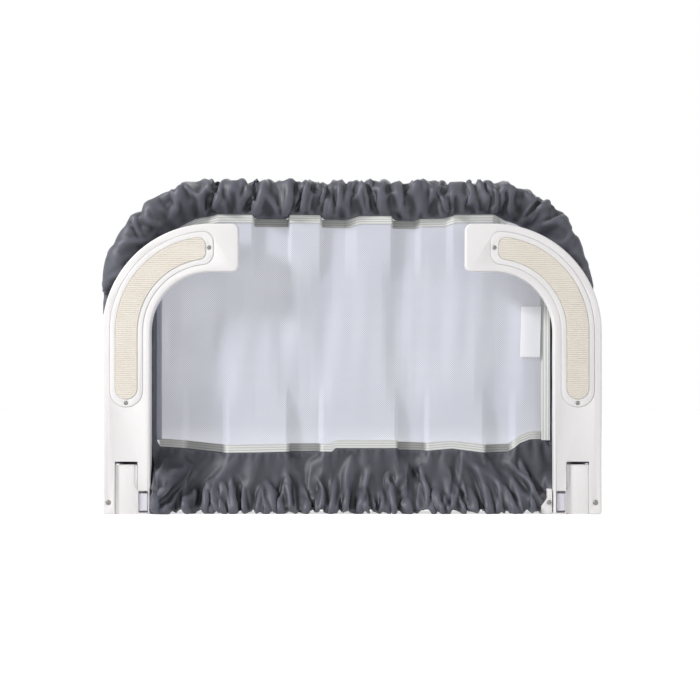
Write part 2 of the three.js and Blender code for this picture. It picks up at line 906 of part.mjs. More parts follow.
function topSleeve() {
  const count = topFolds * stationsPerFold;
  const bendLength = frameBend * quarterTurn;
  const whole = 2 * bendLength + 2 * frameBendX;
  const stations = [];
  for (let k = 0; k <= count; k++) {
    const along = (k / count) * whole;
    const left = along > whole / 2;
    const fromEnd = left ? whole - along : along;
    const bendShare = Math.min(fromEnd / bendLength, 1);
    const bend = bendPlace(bendShare);
    bend.centre.x -= Math.max(fromEnd - bendLength, 0);
    if (left) {
      bend.centre.x *= -1;
      bend.out.x *= -1;
    }
    const gather = gatherShare(k);
    const settle = THREE.MathUtils.smoothstep(bendShare, 0, 0.4);
    const rise = THREE.MathUtils.smoothstep(bendShare, 0.7, 1);
    const cornerReach = THREE.MathUtils.lerp(sideOut, cornerOut, settle);
    const seam = frameBend - seamRadius(bendShare * quarterTurn);
    const netShift = bendShare < 1 ? 0 : netFold(bend.centre.x);
    stations.push({
      place: bend,
      out: THREE.MathUtils.lerp(cornerReach, topOut, rise) + (gatherDepth / 2) * gather * rise,
      inward: seam,
      half: sleeveHalfDepth + gatherDepth * gather * Math.min(settle, 1),
      shift: netShift,
    });
  }
  const { outer, inner } = sleeve(stations);
  return hollowLoft(outer, inner);
}

// The bottom band hangs with its seam upwards
function bandStation(x, gather) {
  const place = {
    centre: new THREE.Vector3(x, frameY, bottomRailZ),
    out: new THREE.Vector3(0, 0, -1),
  };
  return {
    place,
    out: bottomRailZ - bandGroundGap,
    inward: bandTopZ - bottomRailZ,
    half: sleeveHalfDepth + gatherDepth * gather,
    shift: netFold(x),
  };
}

function bottomBand() {
  const count = bottomFolds * stationsPerFold;
  const stations = [];
  for (let k = 0; k <= count; k++) {
    stations.push(bandStation(bandEndX * ((2 * k) / count - 1), gatherShare(k)));
  }
  const { outer, inner } = sleeve(stations);
  let band = solid(hollowLoft(outer, inner));
  for (const side of [-1, 1]) {
    const ends = [bandEndX - overrun, bandEndX + tabReach].map((x) => bandStation(side * x, 0));
    const tab = filledLoft(sleeve(side > 0 ? ends : ends.reverse()).outer);
    const below = block(
      -armX - armWidth,
      armX + armWidth,
      -armX,
      armX,
      -armX,
      bracketHeight + seatGap,
    );
    band = band.add(cut(solid(tab), below));
  }
  return geometryOf(join(band, earFlap()));
}

// Loose cloth that hangs in front of the left ear
function earFlap() {
  const columnShares = [0, 0.2, 0.42, 0.7, 1];
  const rowShares = [0, 0.3, 0.56, 0.8, 1];
  const startX = bandEndX - flapStart;
  const endX = armInnerX - overrun;
  const lowZ = bandGroundGap * 4;
  const insideY = frameY - sleeveHalfDepth + clothWall;
  const frontY = earFrontY - flapFront + flapThickness / 2;
  return sheet(columnShares.length - 1, rowShares.length - 1, flapThickness, (i, j) => {
    const xShare = columnShares[columnShares.length - 1 - i];
    const x = -THREE.MathUtils.lerp(startX, endX, xShare);
    const z = THREE.MathUtils.lerp(lowZ, flapTopZ, rowShares[j]);
    const forward = THREE.MathUtils.smoothstep(xShare, 0, 0.42);
    const hang = 1 - THREE.MathUtils.smoothstep(rowShares[j], 0.56, 1);
    return { x, y: THREE.MathUtils.lerp(insideY, frontY, forward * hang), z };
  });
}

// Side sleeve round the post, up to where the top sleeve begins
function sideSleeve() {
  const steps = 5;
  const stations = [];
  for (let k = 0; k <= steps; k++) {
    const z = THREE.MathUtils.lerp(sideStartZ, frameBendZ - seatGap, k / steps);
    const ripple = k > 0 && k < steps && k % 2 ? gatherDepth / 4 : 0;
    stations.push({
      place: framePlace(0, armX, z),
      out: sideOut - ripple,
      inward: sideIn,
      half: sleeveHalfDepth + ripple,
      shift: 0,
    });
  }
  const { outer, inner } = sleeve(stations);
  return hollowLoft(outer, inner);
}

// Tape over the side seam, in front of the sleeve on the right and behind it on the left
function sideTape(front) {
  const ring = sleeveRing(framePlace(0, 0, 0), sideOut, sideIn, sleeveHalfDepth + gatherDepth / 4, 0);
  const [seamPoint, bellyPoint] = ring.filter((p) => p.y < frameY && p.x < 0).sort((a, b) => a.x - b.x);
  const slope = (bellyPoint.y - seamPoint.y) / (bellyPoint.x - seamPoint.x);
  const lift = seatGap * 2 + tapeThickness / 2;
  const xs = [seamX - sideTapeIn, seamX - seatGap, seamX + sideTapeOut];
  const ys = [
    frameY - netThickness / 2 - lift,
    seamPoint.y - lift,
    seamPoint.y + slope * sideTapeOut - lift,
  ];
  const lowZ = netBottomZ + tapeWidth + seatGap;
  const highZ = frameBendZ - seatGap;
  const rows = 2;
  return sheet(xs.length - 1, rows, tapeThickness, (i, j) => {
    const y = front ? ys[i] : 2 * frameY - ys[i];
    return { x: xs[i], y, z: THREE.MathUtils.lerp(lowZ, highZ, j / rows) };
  });
}

// Plain patch with pinked ends
function blankPatch() {
  const columns = pinkTeeth * 2;
  return sheet(columns, 1, patchThickness, (i, j) => {
    const x = patchX + patchWidth * (i / columns - 0.5);
    const tooth = (i % 2) * pinkDepth;
    const y = frameY + netFold(x) - netThickness / 2 - seatGap * 2 - patchThickness / 2;
    return { x, y, z: j ? patchHighZ - tooth : patchLowZ + tooth };
  });
}

function named(name, geometry, material) {
  const mesh = new THREE.Mesh(geometry, material);
  mesh.name = name;
  return mesh;
}

// A screw in place: front screws face -Y, rear screws are turned to face +Y
function placedScrew(name, geometry, x, y, z, rear = false) {
  const mesh = named(name, geometry, steel());
  mesh.position.set(x, y, z);
  if (rear) mesh.rotation.x = Math.PI;
  return mesh;
}

// One side of the guard, built on the right and mirrored for the left
function buildSide(side) {
  const right = side === "right";
  const group = new THREE.Group();
  const add = (name, geometry, material) => group.add(named(`${side}_${name}`, geometry, material));
  const addScrew = (name, ...rest) => group.add(placedScrew(`${side}_${name}`, ...rest));
  add("arm_shell", armShell(), whitePlastic());
  add("arm_cover", armCover(), whitePlastic());
  add("pad_frame", padBezel(), whitePlastic());
  add("grip_pad", gripPad(), beigeRubber());
  add("release_button", releaseButton(), buttonPlastic());
  add("button_spring", buttonSpring(), steel());
  add("hinge_pin", hingePin(), steel());
  add("bracket", bracket(right ? slimRadius : tubeRadius), whitePlastic());
  add("bracket_back", bracketBack(), whitePlastic());
  add("corner_tube", cornerTube(right ? topJoinX : -topJoinX + seatGap + collarLip), painted());
  add("side_sleeve", sideSleeve(), darkCloth());
  add("side_binding", sideTape(right), greyTape());
  const [low, high] = padScrewPlaces;
  const padSeatY = armFaceY - bezelProud + smallHeadHeight;
  addScrew("pad_screw_lower", smallScrew(), low.x, padSeatY, low.z);
  addScrew("pad_screw_upper", smallScrew(), high.x, padSeatY, high.z);
  const prongSeatY = armFaceY + screwHeadHeight - seatGap;
  addScrew("prong_screw", bigScrew(), prongScrewX, prongSeatY, hingeZ);
  addScrew("lug_screw", bigScrew(), lugScrewX, earFrontY - seatGap, hingeZ);
  coverScrewPlaces.forEach((at, i) => {
    addScrew(`cover_screw_${i + 1}`, bigScrew(), at.x, armRearY + seatGap, at.z, true);
  });
  backScrewXs.forEach((x, i) => {
    addScrew(`back_screw_${i + 1}`, bigScrew(), x, bracketRearY + seatGap, bottomRailZ, true);
  });
  if (!right) group.scale.x = -1;
  return group;
}

// Rails, sleeves and net between the two sides
function buildMiddle() {
  const group = new THREE.Group();
  const add = (name, geometry, material) => group.add(named(name, geometry, material));
  const topEndX = topJoinX - seatGap - collarLip;
  const hidden = railTravel + leastOverlap;
  const topSlimEndX = frameBendX - seatGap;
  add(
    "top_inner_tube",
    straightTube(topRailZ, slimRadius, slimWall, topEndX - hidden, topSlimEndX),
    painted(),
  );
  add("top_collar", collar(topRailZ, topEndX), whitePlastic());
  const socketEndX = bracketInnerX + railSocketDepth - seatGap;
  add(
    "bottom_outer_tube",
    straightTube(bottomRailZ, tubeRadius, tubeWall, -socketEndX, bottomJoinX),
    painted(),
  );
  add(
    "bottom_inner_tube",
    straightTube(bottomRailZ, slimRadius, slimWall, bottomJoinX - hidden, socketEndX),
    painted(),
  );
  add("bottom_collar", collar(bottomRailZ, bottomJoinX), whitePlastic());
  add("top_sleeve", topSleeve(), darkCloth());
  add("bottom_sleeve", bottomBand(), darkCloth());
  add("mesh_panel", meshPanel(), netCloth());
  add("top_binding", topTape(), greyTape());
  add("bottom_binding", bottomTape(), greyTape());
  add("blank_patch", blankPatch(), patchCloth());
  return group;
}

const guardRail = new THREE.Group();
guardRail.add(buildSide("left"), buildSide("right"), buildMiddle());
export default guardRail;
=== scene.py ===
# Folding bed guard rail, stored: its finish and its cloth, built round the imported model.
# Sizes are in millimetres and mm turns them to metres. +Z is up and the arms face -Y.
import math
import random

import bpy
import numpy as np
from mathutils import Matrix, Vector


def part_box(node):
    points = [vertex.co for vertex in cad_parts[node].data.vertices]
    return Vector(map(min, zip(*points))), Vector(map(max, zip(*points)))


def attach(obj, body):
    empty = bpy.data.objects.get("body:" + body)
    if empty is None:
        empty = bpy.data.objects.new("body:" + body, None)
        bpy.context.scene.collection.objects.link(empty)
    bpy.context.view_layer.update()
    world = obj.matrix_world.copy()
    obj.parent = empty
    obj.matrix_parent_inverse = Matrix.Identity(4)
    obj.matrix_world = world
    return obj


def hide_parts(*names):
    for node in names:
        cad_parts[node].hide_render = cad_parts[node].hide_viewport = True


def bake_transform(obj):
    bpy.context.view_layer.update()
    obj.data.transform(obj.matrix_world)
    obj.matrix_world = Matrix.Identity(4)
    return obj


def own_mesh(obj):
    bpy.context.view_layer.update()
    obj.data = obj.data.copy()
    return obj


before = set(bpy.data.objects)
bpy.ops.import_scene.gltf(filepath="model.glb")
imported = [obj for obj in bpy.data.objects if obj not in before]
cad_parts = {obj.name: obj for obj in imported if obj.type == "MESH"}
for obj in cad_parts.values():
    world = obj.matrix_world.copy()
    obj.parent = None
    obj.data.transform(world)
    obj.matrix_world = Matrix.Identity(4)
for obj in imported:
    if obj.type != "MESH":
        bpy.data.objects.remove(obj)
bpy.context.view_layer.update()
mm = 0.001
quarterTurn = math.pi / 2
sides = {"right": 1, "left": -1}
print("frame loaded:", len(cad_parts), "nodes")

# Camera straight on, level with the guard's middle, behind a long lens. It sees width at planeY.
camera = {"x": -2.5, "z": 205, "distance": 2500, "planeY": -20, "width": 875, "sensor": 36}
bpy.ops.object.camera_add(
    location=(camera["x"] * mm, -camera["distance"] * mm, camera["z"] * mm),
    rotation=(quarterTurn, 0, 0),
)
cameraObject = bpy.context.object
cameraObject.data.sensor_width = camera["sensor"]
cameraObject.data.lens = camera["sensor"] * (camera["distance"] + camera["planeY"]) / camera["width"]
bpy.context.scene.camera = cameraObject
bpy.context.scene.view_settings.view_transform = "Standard"


# Colours and nodes
def linearColor(code):
    shares = [int(code[i : i + 2], 16) / 255 for i in (1, 3, 5)]
    line = [s / 12.92 if s <= 0.04045 else ((s + 0.055) / 1.055) ** 2.4 for s in shares]
    return (*line, 1)


def addNode(tree, kind, settings=None, links=None):
    node = tree.nodes.new(f"ShaderNode{kind}")
    for name, value in (settings or {}).items():
        if isinstance(name, int) or name in node.inputs:
            node.inputs[name].default_value = value
        else:
            setattr(node, name, value)
    for name, socket in (links or {}).items():
        tree.links.new(socket, node.inputs[name])
    return node


def newMaterial(name, settings):
    material = bpy.data.materials.new(name)
    material.use_nodes = True
    shader = material.node_tree.nodes["Principled BSDF"]
    for socket, value in settings.items():
        shader.inputs[socket].default_value = value
    return material, material.node_tree, shader


# Studio, in metres: a pale floor, a white backdrop for the camera and soft light
studio = {
    "floorSize": 9,
    "floorColor": "#f4f4f4",
    "floorGlow": 0.66,
    "fill": 0.29,
    "aim": (0, 0, 0.2),
    "lamps": [
        {"at": (-2.3, -1.15, 1.9), "size": 0.5, "power": 80},
        {"at": (2.3, -1.6, 0.9), "size": 1.4, "power": 15},
        {"at": (0.3, 1.9, 1.5), "size": 1.6, "power": 14},
    ],
}


def whiteRays(tree):
    # 1 for rays from the camera, in reflections or through glass, which all see plain white
    path = addNode(tree, "LightPath")
    seen = path.outputs["Is Camera Ray"]
    for ray in ("Is Glossy Ray", "Is Transmission Ray"):
        links = {0: seen, 1: path.outputs[ray]}
        seen = addNode(tree, "Math", {"operation": "MAXIMUM"}, links).outputs[0]
    return seen


def makeStudio():
    world = bpy.data.worlds.new("studio")
    bpy.context.scene.world = world
    world.use_nodes = True
    tree = world.node_tree
    background = tree.nodes["Background"]
    background.inputs["Color"].default_value = (1, 1, 1, 1)
    levels = {"To Min": studio["fill"], "To Max": 1}
    strength = addNode(tree, "MapRange", levels, {"Value": whiteRays(tree)})
    tree.links.new(strength.outputs["Result"], background.inputs["Strength"])
    bpy.ops.object.select_all(action="DESELECT")
    bpy.ops.mesh.primitive_plane_add(size=studio["floorSize"])
    floor = bpy.context.object
    floor.name = "floor"
    material, tree, shader = newMaterial(
        "paintedStudioFloor",
        {"Base Color": linearColor(studio["floorColor"]), "Roughness": 0.9, "Specular IOR Level": 0.1},
    )
    share = {"operation": "MULTIPLY", 1: studio["floorGlow"]}
    glow = addNode(tree, "Math", share, {0: whiteRays(tree)})
    shader.inputs["Emission Color"].default_value = (1, 1, 1, 1)
    tree.links.new(glow.outputs[0], shader.inputs["Emission Strength"])
    floor.data.materials.append(material)
    for lamp in studio["lamps"]:
        bpy.ops.object.light_add(type="AREA", location=lamp["at"])
        light = bpy.context.object
        light.data.size = lamp["size"]
        light.data.energy = lamp["power"]
        away = Vector(lamp["at"]) - Vector(studio["aim"])
        light.rotation_euler = away.to_track_quat("Z", "Y").to_euler()


makeStudio()
print("studio made")


# Tools for the modelling: merge is in mm, and flat, sharp and smooth are in degrees
meshCare = {"merge": 0.005, "flat": 0.4, "sharp": 50, "smooth": 35}
nearly = 0.01


def pick(piece):
    bpy.ops.object.select_all(action="DESELECT")
    piece.select_set(True)
    bpy.context.view_layer.objects.active = piece


def placeApplied():
    # The selected object's place goes into its mesh
    bpy.ops.object.transform_apply(location=True, rotation=True, scale=True)
    return bpy.context.object


def turnedOutwards():
    # Ends edit mode with all faces pointing outwards
    bpy.ops.mesh.select_all(action="SELECT")
    bpy.ops.mesh.normals_make_consistent(inside=False)
    bpy.ops.object.mode_set(mode="OBJECT")


def nothingSelected(piece, kind):
    # So that faces or edges can then be chosen by their place
    pick(piece)
    bpy.ops.object.mode_set(mode="EDIT")
    bpy.ops.mesh.select_mode(type=kind)
    bpy.ops.mesh.select_all(action="DESELECT")
    bpy.ops.object.mode_set(mode="OBJECT")


def copied(name, source):
    copy = bpy.data.objects.new(name, source.data.copy())
    bpy.context.scene.collection.objects.link(copy)
    pick(copy)
    return copy


def carriedCopy(name, node):
    copy = copied(name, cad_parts[node])
    bpy.ops.mesh.customdata_custom_splitnormals_clear()
    return copy


def nodeBox(node):
    return [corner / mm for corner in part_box(node)]


def applied(piece, kind, **settings):
    pick(piece)
    modifier = piece.modifiers.new(kind.lower(), kind)
    for name, value in settings.items():
        setattr(modifier, name, value)
    bpy.ops.object.modifier_apply(modifier=modifier.name)


def smoothed(piece, degrees=meshCare["smooth"]):
    pick(piece)
    bpy.ops.object.shade_smooth_by_angle(angle=math.radians(degrees))


def cleaned(piece):
    pick(piece)
    bpy.ops.object.mode_set(mode="EDIT")
    bpy.ops.mesh.select_all(action="SELECT")
    bpy.ops.mesh.remove_doubles(threshold=meshCare["merge"] * mm)
    bpy.ops.mesh.dissolve_limited(angle_limit=math.radians(meshCare["flat"]))
    bpy.ops.object.mode_set(mode="OBJECT")


def eased(piece, width, steps=2):
    # A small radius on every sharp edge, as a mould leaves
    cleaned(piece)
    applied(
        piece,
        "BEVEL",
        width=width * mm,
        segments=steps,
        limit_method="ANGLE",
        angle_limit=math.radians(meshCare["sharp"]),
        use_clamp_overlap=False,
    )


def rimRounded(piece, frontY, radius, steps):
    # A wider radius round the flat front
    nothingSelected(piece, "EDGE")
    inFront = [vertex.co.y / mm < frontY + nearly for vertex in piece.data.vertices]
    for edge in piece.data.edges:
        edge.select = all(inFront[i] for i in edge.vertices)
    bpy.ops.object.mode_set(mode="EDIT")
    bpy.ops.mesh.bevel(offset=radius * mm, segments=steps, affect="EDGES", clamp_overlap=False)
    bpy.ops.object.mode_set(mode="OBJECT")


def cutBy(piece, tool, operation="DIFFERENCE"):
    applied(piece, "BOOLEAN", operation=operation, solver="EXACT", object=tool)
    bpy.data.objects.remove(tool)


def block(x0, x1, y0, y1, z0, z1):
    bpy.ops.object.select_all(action="DESELECT")
    middle = ((x0 + x1) / 2 * mm, (y0 + y1) / 2 * mm, (z0 + z1) / 2 * mm)
    size = ((x1 - x0) * mm, (y1 - y0) * mm, (z1 - z0) * mm)
    bpy.ops.mesh.primitive_cube_add(size=1, location=middle, scale=size)
    return placeApplied()


def rod(axis, radius, start, end, a, b, count=32):
    # Along X its other two places are y and z, along Y they are x and z
    turned = {"X": (0, quarterTurn, 0), "Y": (quarterTurn, 0, 0)}[axis]
    middle = (start + end) / 2
    place = (middle, a, b) if axis == "X" else (a, middle, b)
    bpy.ops.object.select_all(action="DESELECT")
    bpy.ops.mesh.primitive_cylinder_add(
        vertices=count,
        radius=radius * mm,
        depth=(end - start) * mm,
        location=[p * mm for p in place],
        rotation=turned,
    )
    return placeApplied()


def plate(name, outline, frontY, rearY):
    # A disc whose rim is moved to the outline in x and z, then drawn out to its depth
    bpy.ops.object.select_all(action="DESELECT")
    bpy.ops.mesh.primitive_circle_add(vertices=len(outline), radius=mm, fill_type="NGON")
    piece = bpy.context.object
    piece.name = name
    for vertex, (x, z) in zip(piece.data.vertices, outline):
        vertex.co = (x * mm, rearY * mm, z * mm)
    bpy.ops.object.mode_set(mode="EDIT")
    bpy.ops.mesh.select_all(action="SELECT")
    bpy.ops.mesh.extrude_region_move(TRANSFORM_OT_translate={"value": (0, (frontY - rearY) * mm, 0)})
    turnedOutwards()
    return piece


def mirrored(piece, name):
    copy = copied(name, piece)
    copy.scale.x = -1
    placeApplied()
    bpy.ops.object.mode_set(mode="EDIT")
    turnedOutwards()
    return copy


def dressed(piece, material, slotName, *nodes):
    piece.data.materials.clear()
    piece.data.materials.append(material)
    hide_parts(*nodes)


def finished(piece, material, slotName, body, node, degrees=meshCare["smooth"]):
    smoothed(piece, degrees)
    dressed(piece, material, slotName, node)
    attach(piece, body)


def bothSides(piece, label, material, slotName, body, node, degrees=meshCare["smooth"]):
    # The piece is the right side's, and the left one is its mirror image
    other = mirrored(piece, f"left_{label}")
    piece.name = f"right_{label}"
    for side, one in (("right", piece), ("left", other)):
        finished(one, material, slotName, f"{side}_{body}", f"{side}_{node}", degrees)


# Materials of the hard parts, with sizes and depths in mm
def noiseIn(tree, size, detail):
    place = addNode(tree, "TexCoord").outputs["Object"]
    settings = {"Scale": 1 / (size * mm), "Detail": detail}
    return addNode(tree, "TexNoise", settings, {"Vector": place}).outputs["Fac"]


def toned(tree, shader, share, dark, light):
    # The colour goes from dark to light as share goes from 0 to 1
    shades = {"data_type": "RGBA", 6: linearColor(dark), 7: linearColor(light)}
    tone = addNode(tree, "Mix", shades, {0: share}).outputs[2]
    tree.links.new(tone, shader.inputs["Base Color"])
    return tone


def embossed(tree, shader, height, strength, depth):
    settings = {"Strength": strength, "Distance": depth * mm}
    bump = addNode(tree, "Bump", settings, {"Height": height})
    tree.links.new(bump.outputs["Normal"], shader.inputs["Normal"])


def makeMouldedPlastic():
    # Injection-moulded polypropylene: a fine spark-eroded satin, a shade cloudier in places
    settings = {"Base Color": linearColor("#efeced"), "Roughness": 0.42, "IOR": 1.49}
    material, tree, shader = newMaterial("whiteMouldedPolypropylene", settings)
    cloud = noiseIn(tree, size=90, detail=3)
    toned(tree, shader, cloud, "#ebe8e8", "#f2f0f0")
    gloss = addNode(tree, "MapRange", {"To Min": 0.36, "To Max": 0.5}, {"Value": cloud})
    tree.links.new(gloss.outputs["Result"], shader.inputs["Roughness"])
    embossed(tree, shader, noiseIn(tree, size=0.55, detail=2), strength=0.06, depth=0.1)
    return material


def makeButtonPlastic():
    # Polished ABS, bluer and glossier than the arms
    settings = {"Base Color": linearColor("#dcdae3"), "Roughness": 0.28, "IOR": 1.53}
    material, tree, shader = newMaterial("paleBlueGreyAbs", settings)
    toned(tree, shader, noiseIn(tree, size=6, detail=2), "#d7d5df", "#e2e0e8")
    return material


def makeGripRubber():
    # Moulded thermoplastic rubber: dry and matte, a little dusty in places
    settings = {"Base Color": linearColor("#e6dccb"), "Roughness": 0.78, "IOR": 1.5, "Sheen Weight": 0.15}
    material, tree, shader = newMaterial("beigeThermoplasticRubber", settings)
    toned(tree, shader, noiseIn(tree, size=35, detail=3), "#e7dfd3", "#f0eae1")
    embossed(tree, shader, noiseIn(tree, size=0.8, detail=3), strength=0.12, depth=0.15)
    return material


def makeScrewSteel():
    # Zinc-plated pressed steel, darker where the plating has rubbed off
    settings = {"Base Color": linearColor("#94938f"), "Metallic": 1, "Roughness": 0.42}
    material, tree, shader = newMaterial("zincPlatedSteel", settings)
    toned(tree, shader, noiseIn(tree, size=1.2, detail=4), "#7c7b78", "#acaba7")
    return material


def makeTubePaint():
    # Powder-coated steel tube: pale grey with a faint orange peel
    settings = {"Base Color": linearColor("#d8d8d8"), "Roughness": 0.36, "IOR": 1.5}
    material, tree, shader = newMaterial("greyPowderCoat", settings)
    embossed(tree, shader, noiseIn(tree, size=1.6, detail=2), strength=0.1, depth=0.1)
    return material


mouldedPlastic = makeMouldedPlastic()
buttonPlastic = makeButtonPlastic()
gripRubber = makeGripRubber()
screwSteel = makeScrewSteel()
tubePaint = makeTubePaint()
print("hard materials made")

# Arms: a strip that goes up, round the bend and inwards, measured along its middle
arm = {
    "x": 281.25,
    "half": 30,
    "bendZ": 227.5,
    "bendRadius": 105,
    "bendSteps": 36,
    "length": 427.43,
    "frontY": -30,
    "shellRearY": -12.7,
    "rearY": -10,
    "baseCorner": 4,
    "footCorner": 8,
    "cornerSteps": 8,
    "rim": 2.2,
    "edge": 0.4,
    "rootTopZ": 35.7,
}
cover = {"start": 36, "frontY": -12.4, "edge": 0.9}
hinge = {"y": -15, "z": 15, "knuckle": 12, "inset": 0.3}
slot = {"x0": 267, "x1": 295.5, "topZ": 62.8, "raised": 3.2}
window = {"x0": 254.6, "x1": 266, "z0": 2.2, "topZ": 28.6, "floorY": -19.8, "raised": 1}
prongScrew = {"x": 303.375, "z": 15, "seat": 3.4, "seatFloorY": -28.4}
bezel = {
    "half": 20.5,
    "start": 134,
    "end": 396,
    "round": 13,
    "frontY": -30.4,
    "floorY": -27.7,
    "gap": 0.3,
    "rim": 0.6,
    "screwSeat": 2.7,
    "seatFloorY": -28.9,
}
pad = {
    "half": 13.5,
    "start": 144,
    "end": 386,
    "round": 9,
    "frontY": -31,
    "rearY": -28,
    "ribs": 80,
    "firstRibZ": 140,
    "ribPitch": 2.6,
    "crest": 1.5,
    "furrow": 0.8,
    "slab": {"x": 240, "width": 140, "depth": 6},
    "smooth": 8,
}


def armPoint(distance, offset):
    past = distance - arm["bendZ"]
    angle = min(max(past / arm["bendRadius"], 0), quarterTurn)
    inwards = max(past - arm["bendRadius"] * quarterTurn, 0)
    reach = arm["bendRadius"] + offset
    x = arm["x"] - arm["bendRadius"] + reach * math.cos(angle) - inwards
    z = arm["bendZ"] + reach * math.sin(angle) + min(past, 0)
    return x, z


def armOutline(half, start, end, startRound, endRound):
    steps = arm["cornerSteps"]
    turns = [quarterTurn * i / steps for i in range(steps + 1)]
    rise = [(1 - math.cos(t), 1 - math.sin(t)) for t in turns]
    stations = [(start + startRound * a, half - startRound * b) for a, b in rise]
    for i in range(arm["bendSteps"] + 1):
        distance = arm["bendZ"] + arm["bendRadius"] * quarterTurn * i / arm["bendSteps"]
        if start + startRound < distance < end - endRound:
            stations.append((distance, half))
    stations += [(end - endRound * a, half - endRound * b) for a, b in reversed(rise)]
    points = [armPoint(d, o) for d, o in stations] + [armPoint(d, -o) for d, o in reversed(stations)]
    distinct = []
    for point in points:
        if not distinct or math.dist(point, distinct[-1]) > nearly:
            distinct.append(point)
    if math.dist(distinct[0], distinct[-1]) <= nearly:
        distinct.pop()
    return distinct


def racetrack(form, gap=0):
    # Outline of the bezel or the pad, wider by a gap all round
    half = form["half"] + gap
    return armOutline(half, form["start"] - gap, form["end"] + gap, half, form["round"] + gap)


def slotTool():
    return block(slot["x0"], slot["x1"], arm["frontY"] - 1, 0, -1, slot["topZ"])


def topRaised(piece, opening):
    # An opening is cut first and its eased top edge then drawn up, as on the real moulding
    near = 0.9
    for vertex in piece.data.vertices:
        x, y, z = vertex.co / mm
        if abs(z - opening["topZ"]) < near and opening["x0"] - near < x < opening["x1"] + near:
            vertex.co.z += opening["raised"] * mm


def makeArmShell():
    outline = armOutline(arm["half"], 0, arm["length"], arm["baseCorner"], arm["footCorner"])
    shell = plate("armShell", outline, arm["frontY"], arm["shellRearY"])
    rimRounded(shell, arm["frontY"], arm["rim"], 5)
    outline = armOutline(arm["half"], 0, arm["rootTopZ"], arm["baseCorner"], 0)
    cutBy(shell, plate("root", outline, arm["shellRearY"] - 1, arm["rearY"]), "UNION")
    span = arm["half"] - hinge["inset"]
    ends = (arm["x"] - span, arm["x"] + span)
    cutBy(shell, rod("X", hinge["knuckle"], *ends, hinge["y"], hinge["z"], 48), "UNION")
    before = arm["frontY"] - 1
    cutBy(shell, plate("bed", racetrack(bezel, bezel["gap"]), before, bezel["floorY"]))
    cutBy(shell, slotTool())
    depth = (before, window["floorY"])
    cutBy(shell, block(window["x0"], window["x1"], *depth, window["z0"], window["topZ"]))
    depth = (before, prongScrew["seatFloorY"])
    cutBy(shell, rod("Y", prongScrew["seat"], *depth, prongScrew["x"], prongScrew["z"]))
    eased(shell, arm["edge"])
    topRaised(shell, slot)
    topRaised(shell, window)
    bothSides(shell, "shell", mouldedPlastic, "white_plastic", "arm", "arm_shell")


def makeArmCover():
    outline = armOutline(arm["half"], cover["start"], arm["length"], 0, arm["footCorner"])
    lid = plate("armCover", outline, cover["frontY"], arm["rearY"])
    cutBy(lid, slotTool())
    eased(lid, cover["edge"], 3)
    topRaised(lid, slot)
    bothSides(lid, "cover", mouldedPlastic, "white_plastic", "arm", "arm_cover")


def makeBezel():
    before = bezel["frontY"] - 1
    ring = plate("bezel", racetrack(bezel), bezel["frontY"], bezel["floorY"] - bezel["gap"])
    cutBy(ring, plate("opening", racetrack(pad, bezel["gap"]), before, bezel["floorY"] + 1))
    cleaned(ring)
    for name in ("lower", "upper"):
        low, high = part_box(f"right_pad_screw_{name}")
        middle = (low + high) / 2 / mm
        cutBy(ring, rod("Y", bezel["screwSeat"], before, bezel["seatFloorY"], middle.x, middle.z, 24))
    eased(ring, bezel["rim"], 3)
    bothSides(ring, "bezel", mouldedPlastic, "white_plastic", "arm", "pad_frame")


def makePad():
    # A ribbed slab, its ribs level all the way round, trimmed to the pad's outline
    rows = pad["ribs"] * 3
    form = pad["slab"]
    bpy.ops.object.select_all(action="DESELECT")
    bpy.ops.mesh.primitive_grid_add(x_subdivisions=1, y_subdivisions=rows, size=1)
    slab = bpy.context.object
    middle = (pad["ribPitch"] + pad["crest"]) / 2
    profile = [(0, 0), (pad["crest"], 0), (middle, pad["furrow"])]
    for vertex in slab.data.vertices:
        row = round((vertex.co.y + 0.5) * rows)
        up, deep = profile[row % 3]
        x = form["x"] + vertex.co.x * form["width"]
        z = pad["firstRibZ"] + row // 3 * pad["ribPitch"] + up
        vertex.co = (x * mm, (pad["frontY"] + deep) * mm, z * mm)
    bpy.ops.object.mode_set(mode="EDIT")
    bpy.ops.mesh.select_all(action="SELECT")
    bpy.ops.mesh.extrude_region_move(TRANSFORM_OT_translate={"value": (0, form["depth"] * mm, 0)})
    turnedOutwards()
    body = plate("gripPad", racetrack(pad), pad["frontY"] - 1, pad["rearY"])
    cutBy(body, slab, "INTERSECT")
    bothSides(body, "pad", gripRubber, "grip_rubber", "arm", "grip_pad", pad["smooth"])

makeArmShell()
makeArmCover()
makeBezel()
makePad()
print("arms made")

# Release button: a soft-edged key with a shallow dish
button = {"edge": 0.9, "inset": 2.2, "dish": 0.5, "z0": 4.6, "z1": 26.2}


def makeButton():
    low, high = nodeBox("right_release_button")
    key = block(low.x, high.x, low.y, high.y, button["z0"], button["z1"])
    rimRounded(key, low.y, button["edge"], 4)
    nothingSelected(key, "FACE")
    for face in key.data.polygons:
        face.select = face.normal.y < -0.99
    bpy.ops.object.mode_set(mode="EDIT")
    bpy.ops.mesh.inset(thickness=button["inset"] * mm, depth=-button["dish"] * mm)
    bpy.ops.object.mode_set(mode="OBJECT")
    bothSides(key, "button", buttonPlastic, "button_plastic", "button", "release_button")


makeButton()
print("buttons made")

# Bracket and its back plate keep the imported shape, with their edges eased. The bracket's points
# above aboveZ and in front of frontY are raised, and a step, (x0, x1, y0, y1, z0, z1), is added
# at the arm's slot.
bracket = {
    "edge": 0.5,
    "aboveZ": 60.4,
    "frontY": -20,
    "raised": 1.9,
    "step": (267.9, 272, -26.3, -20, 32, 61.8),
}


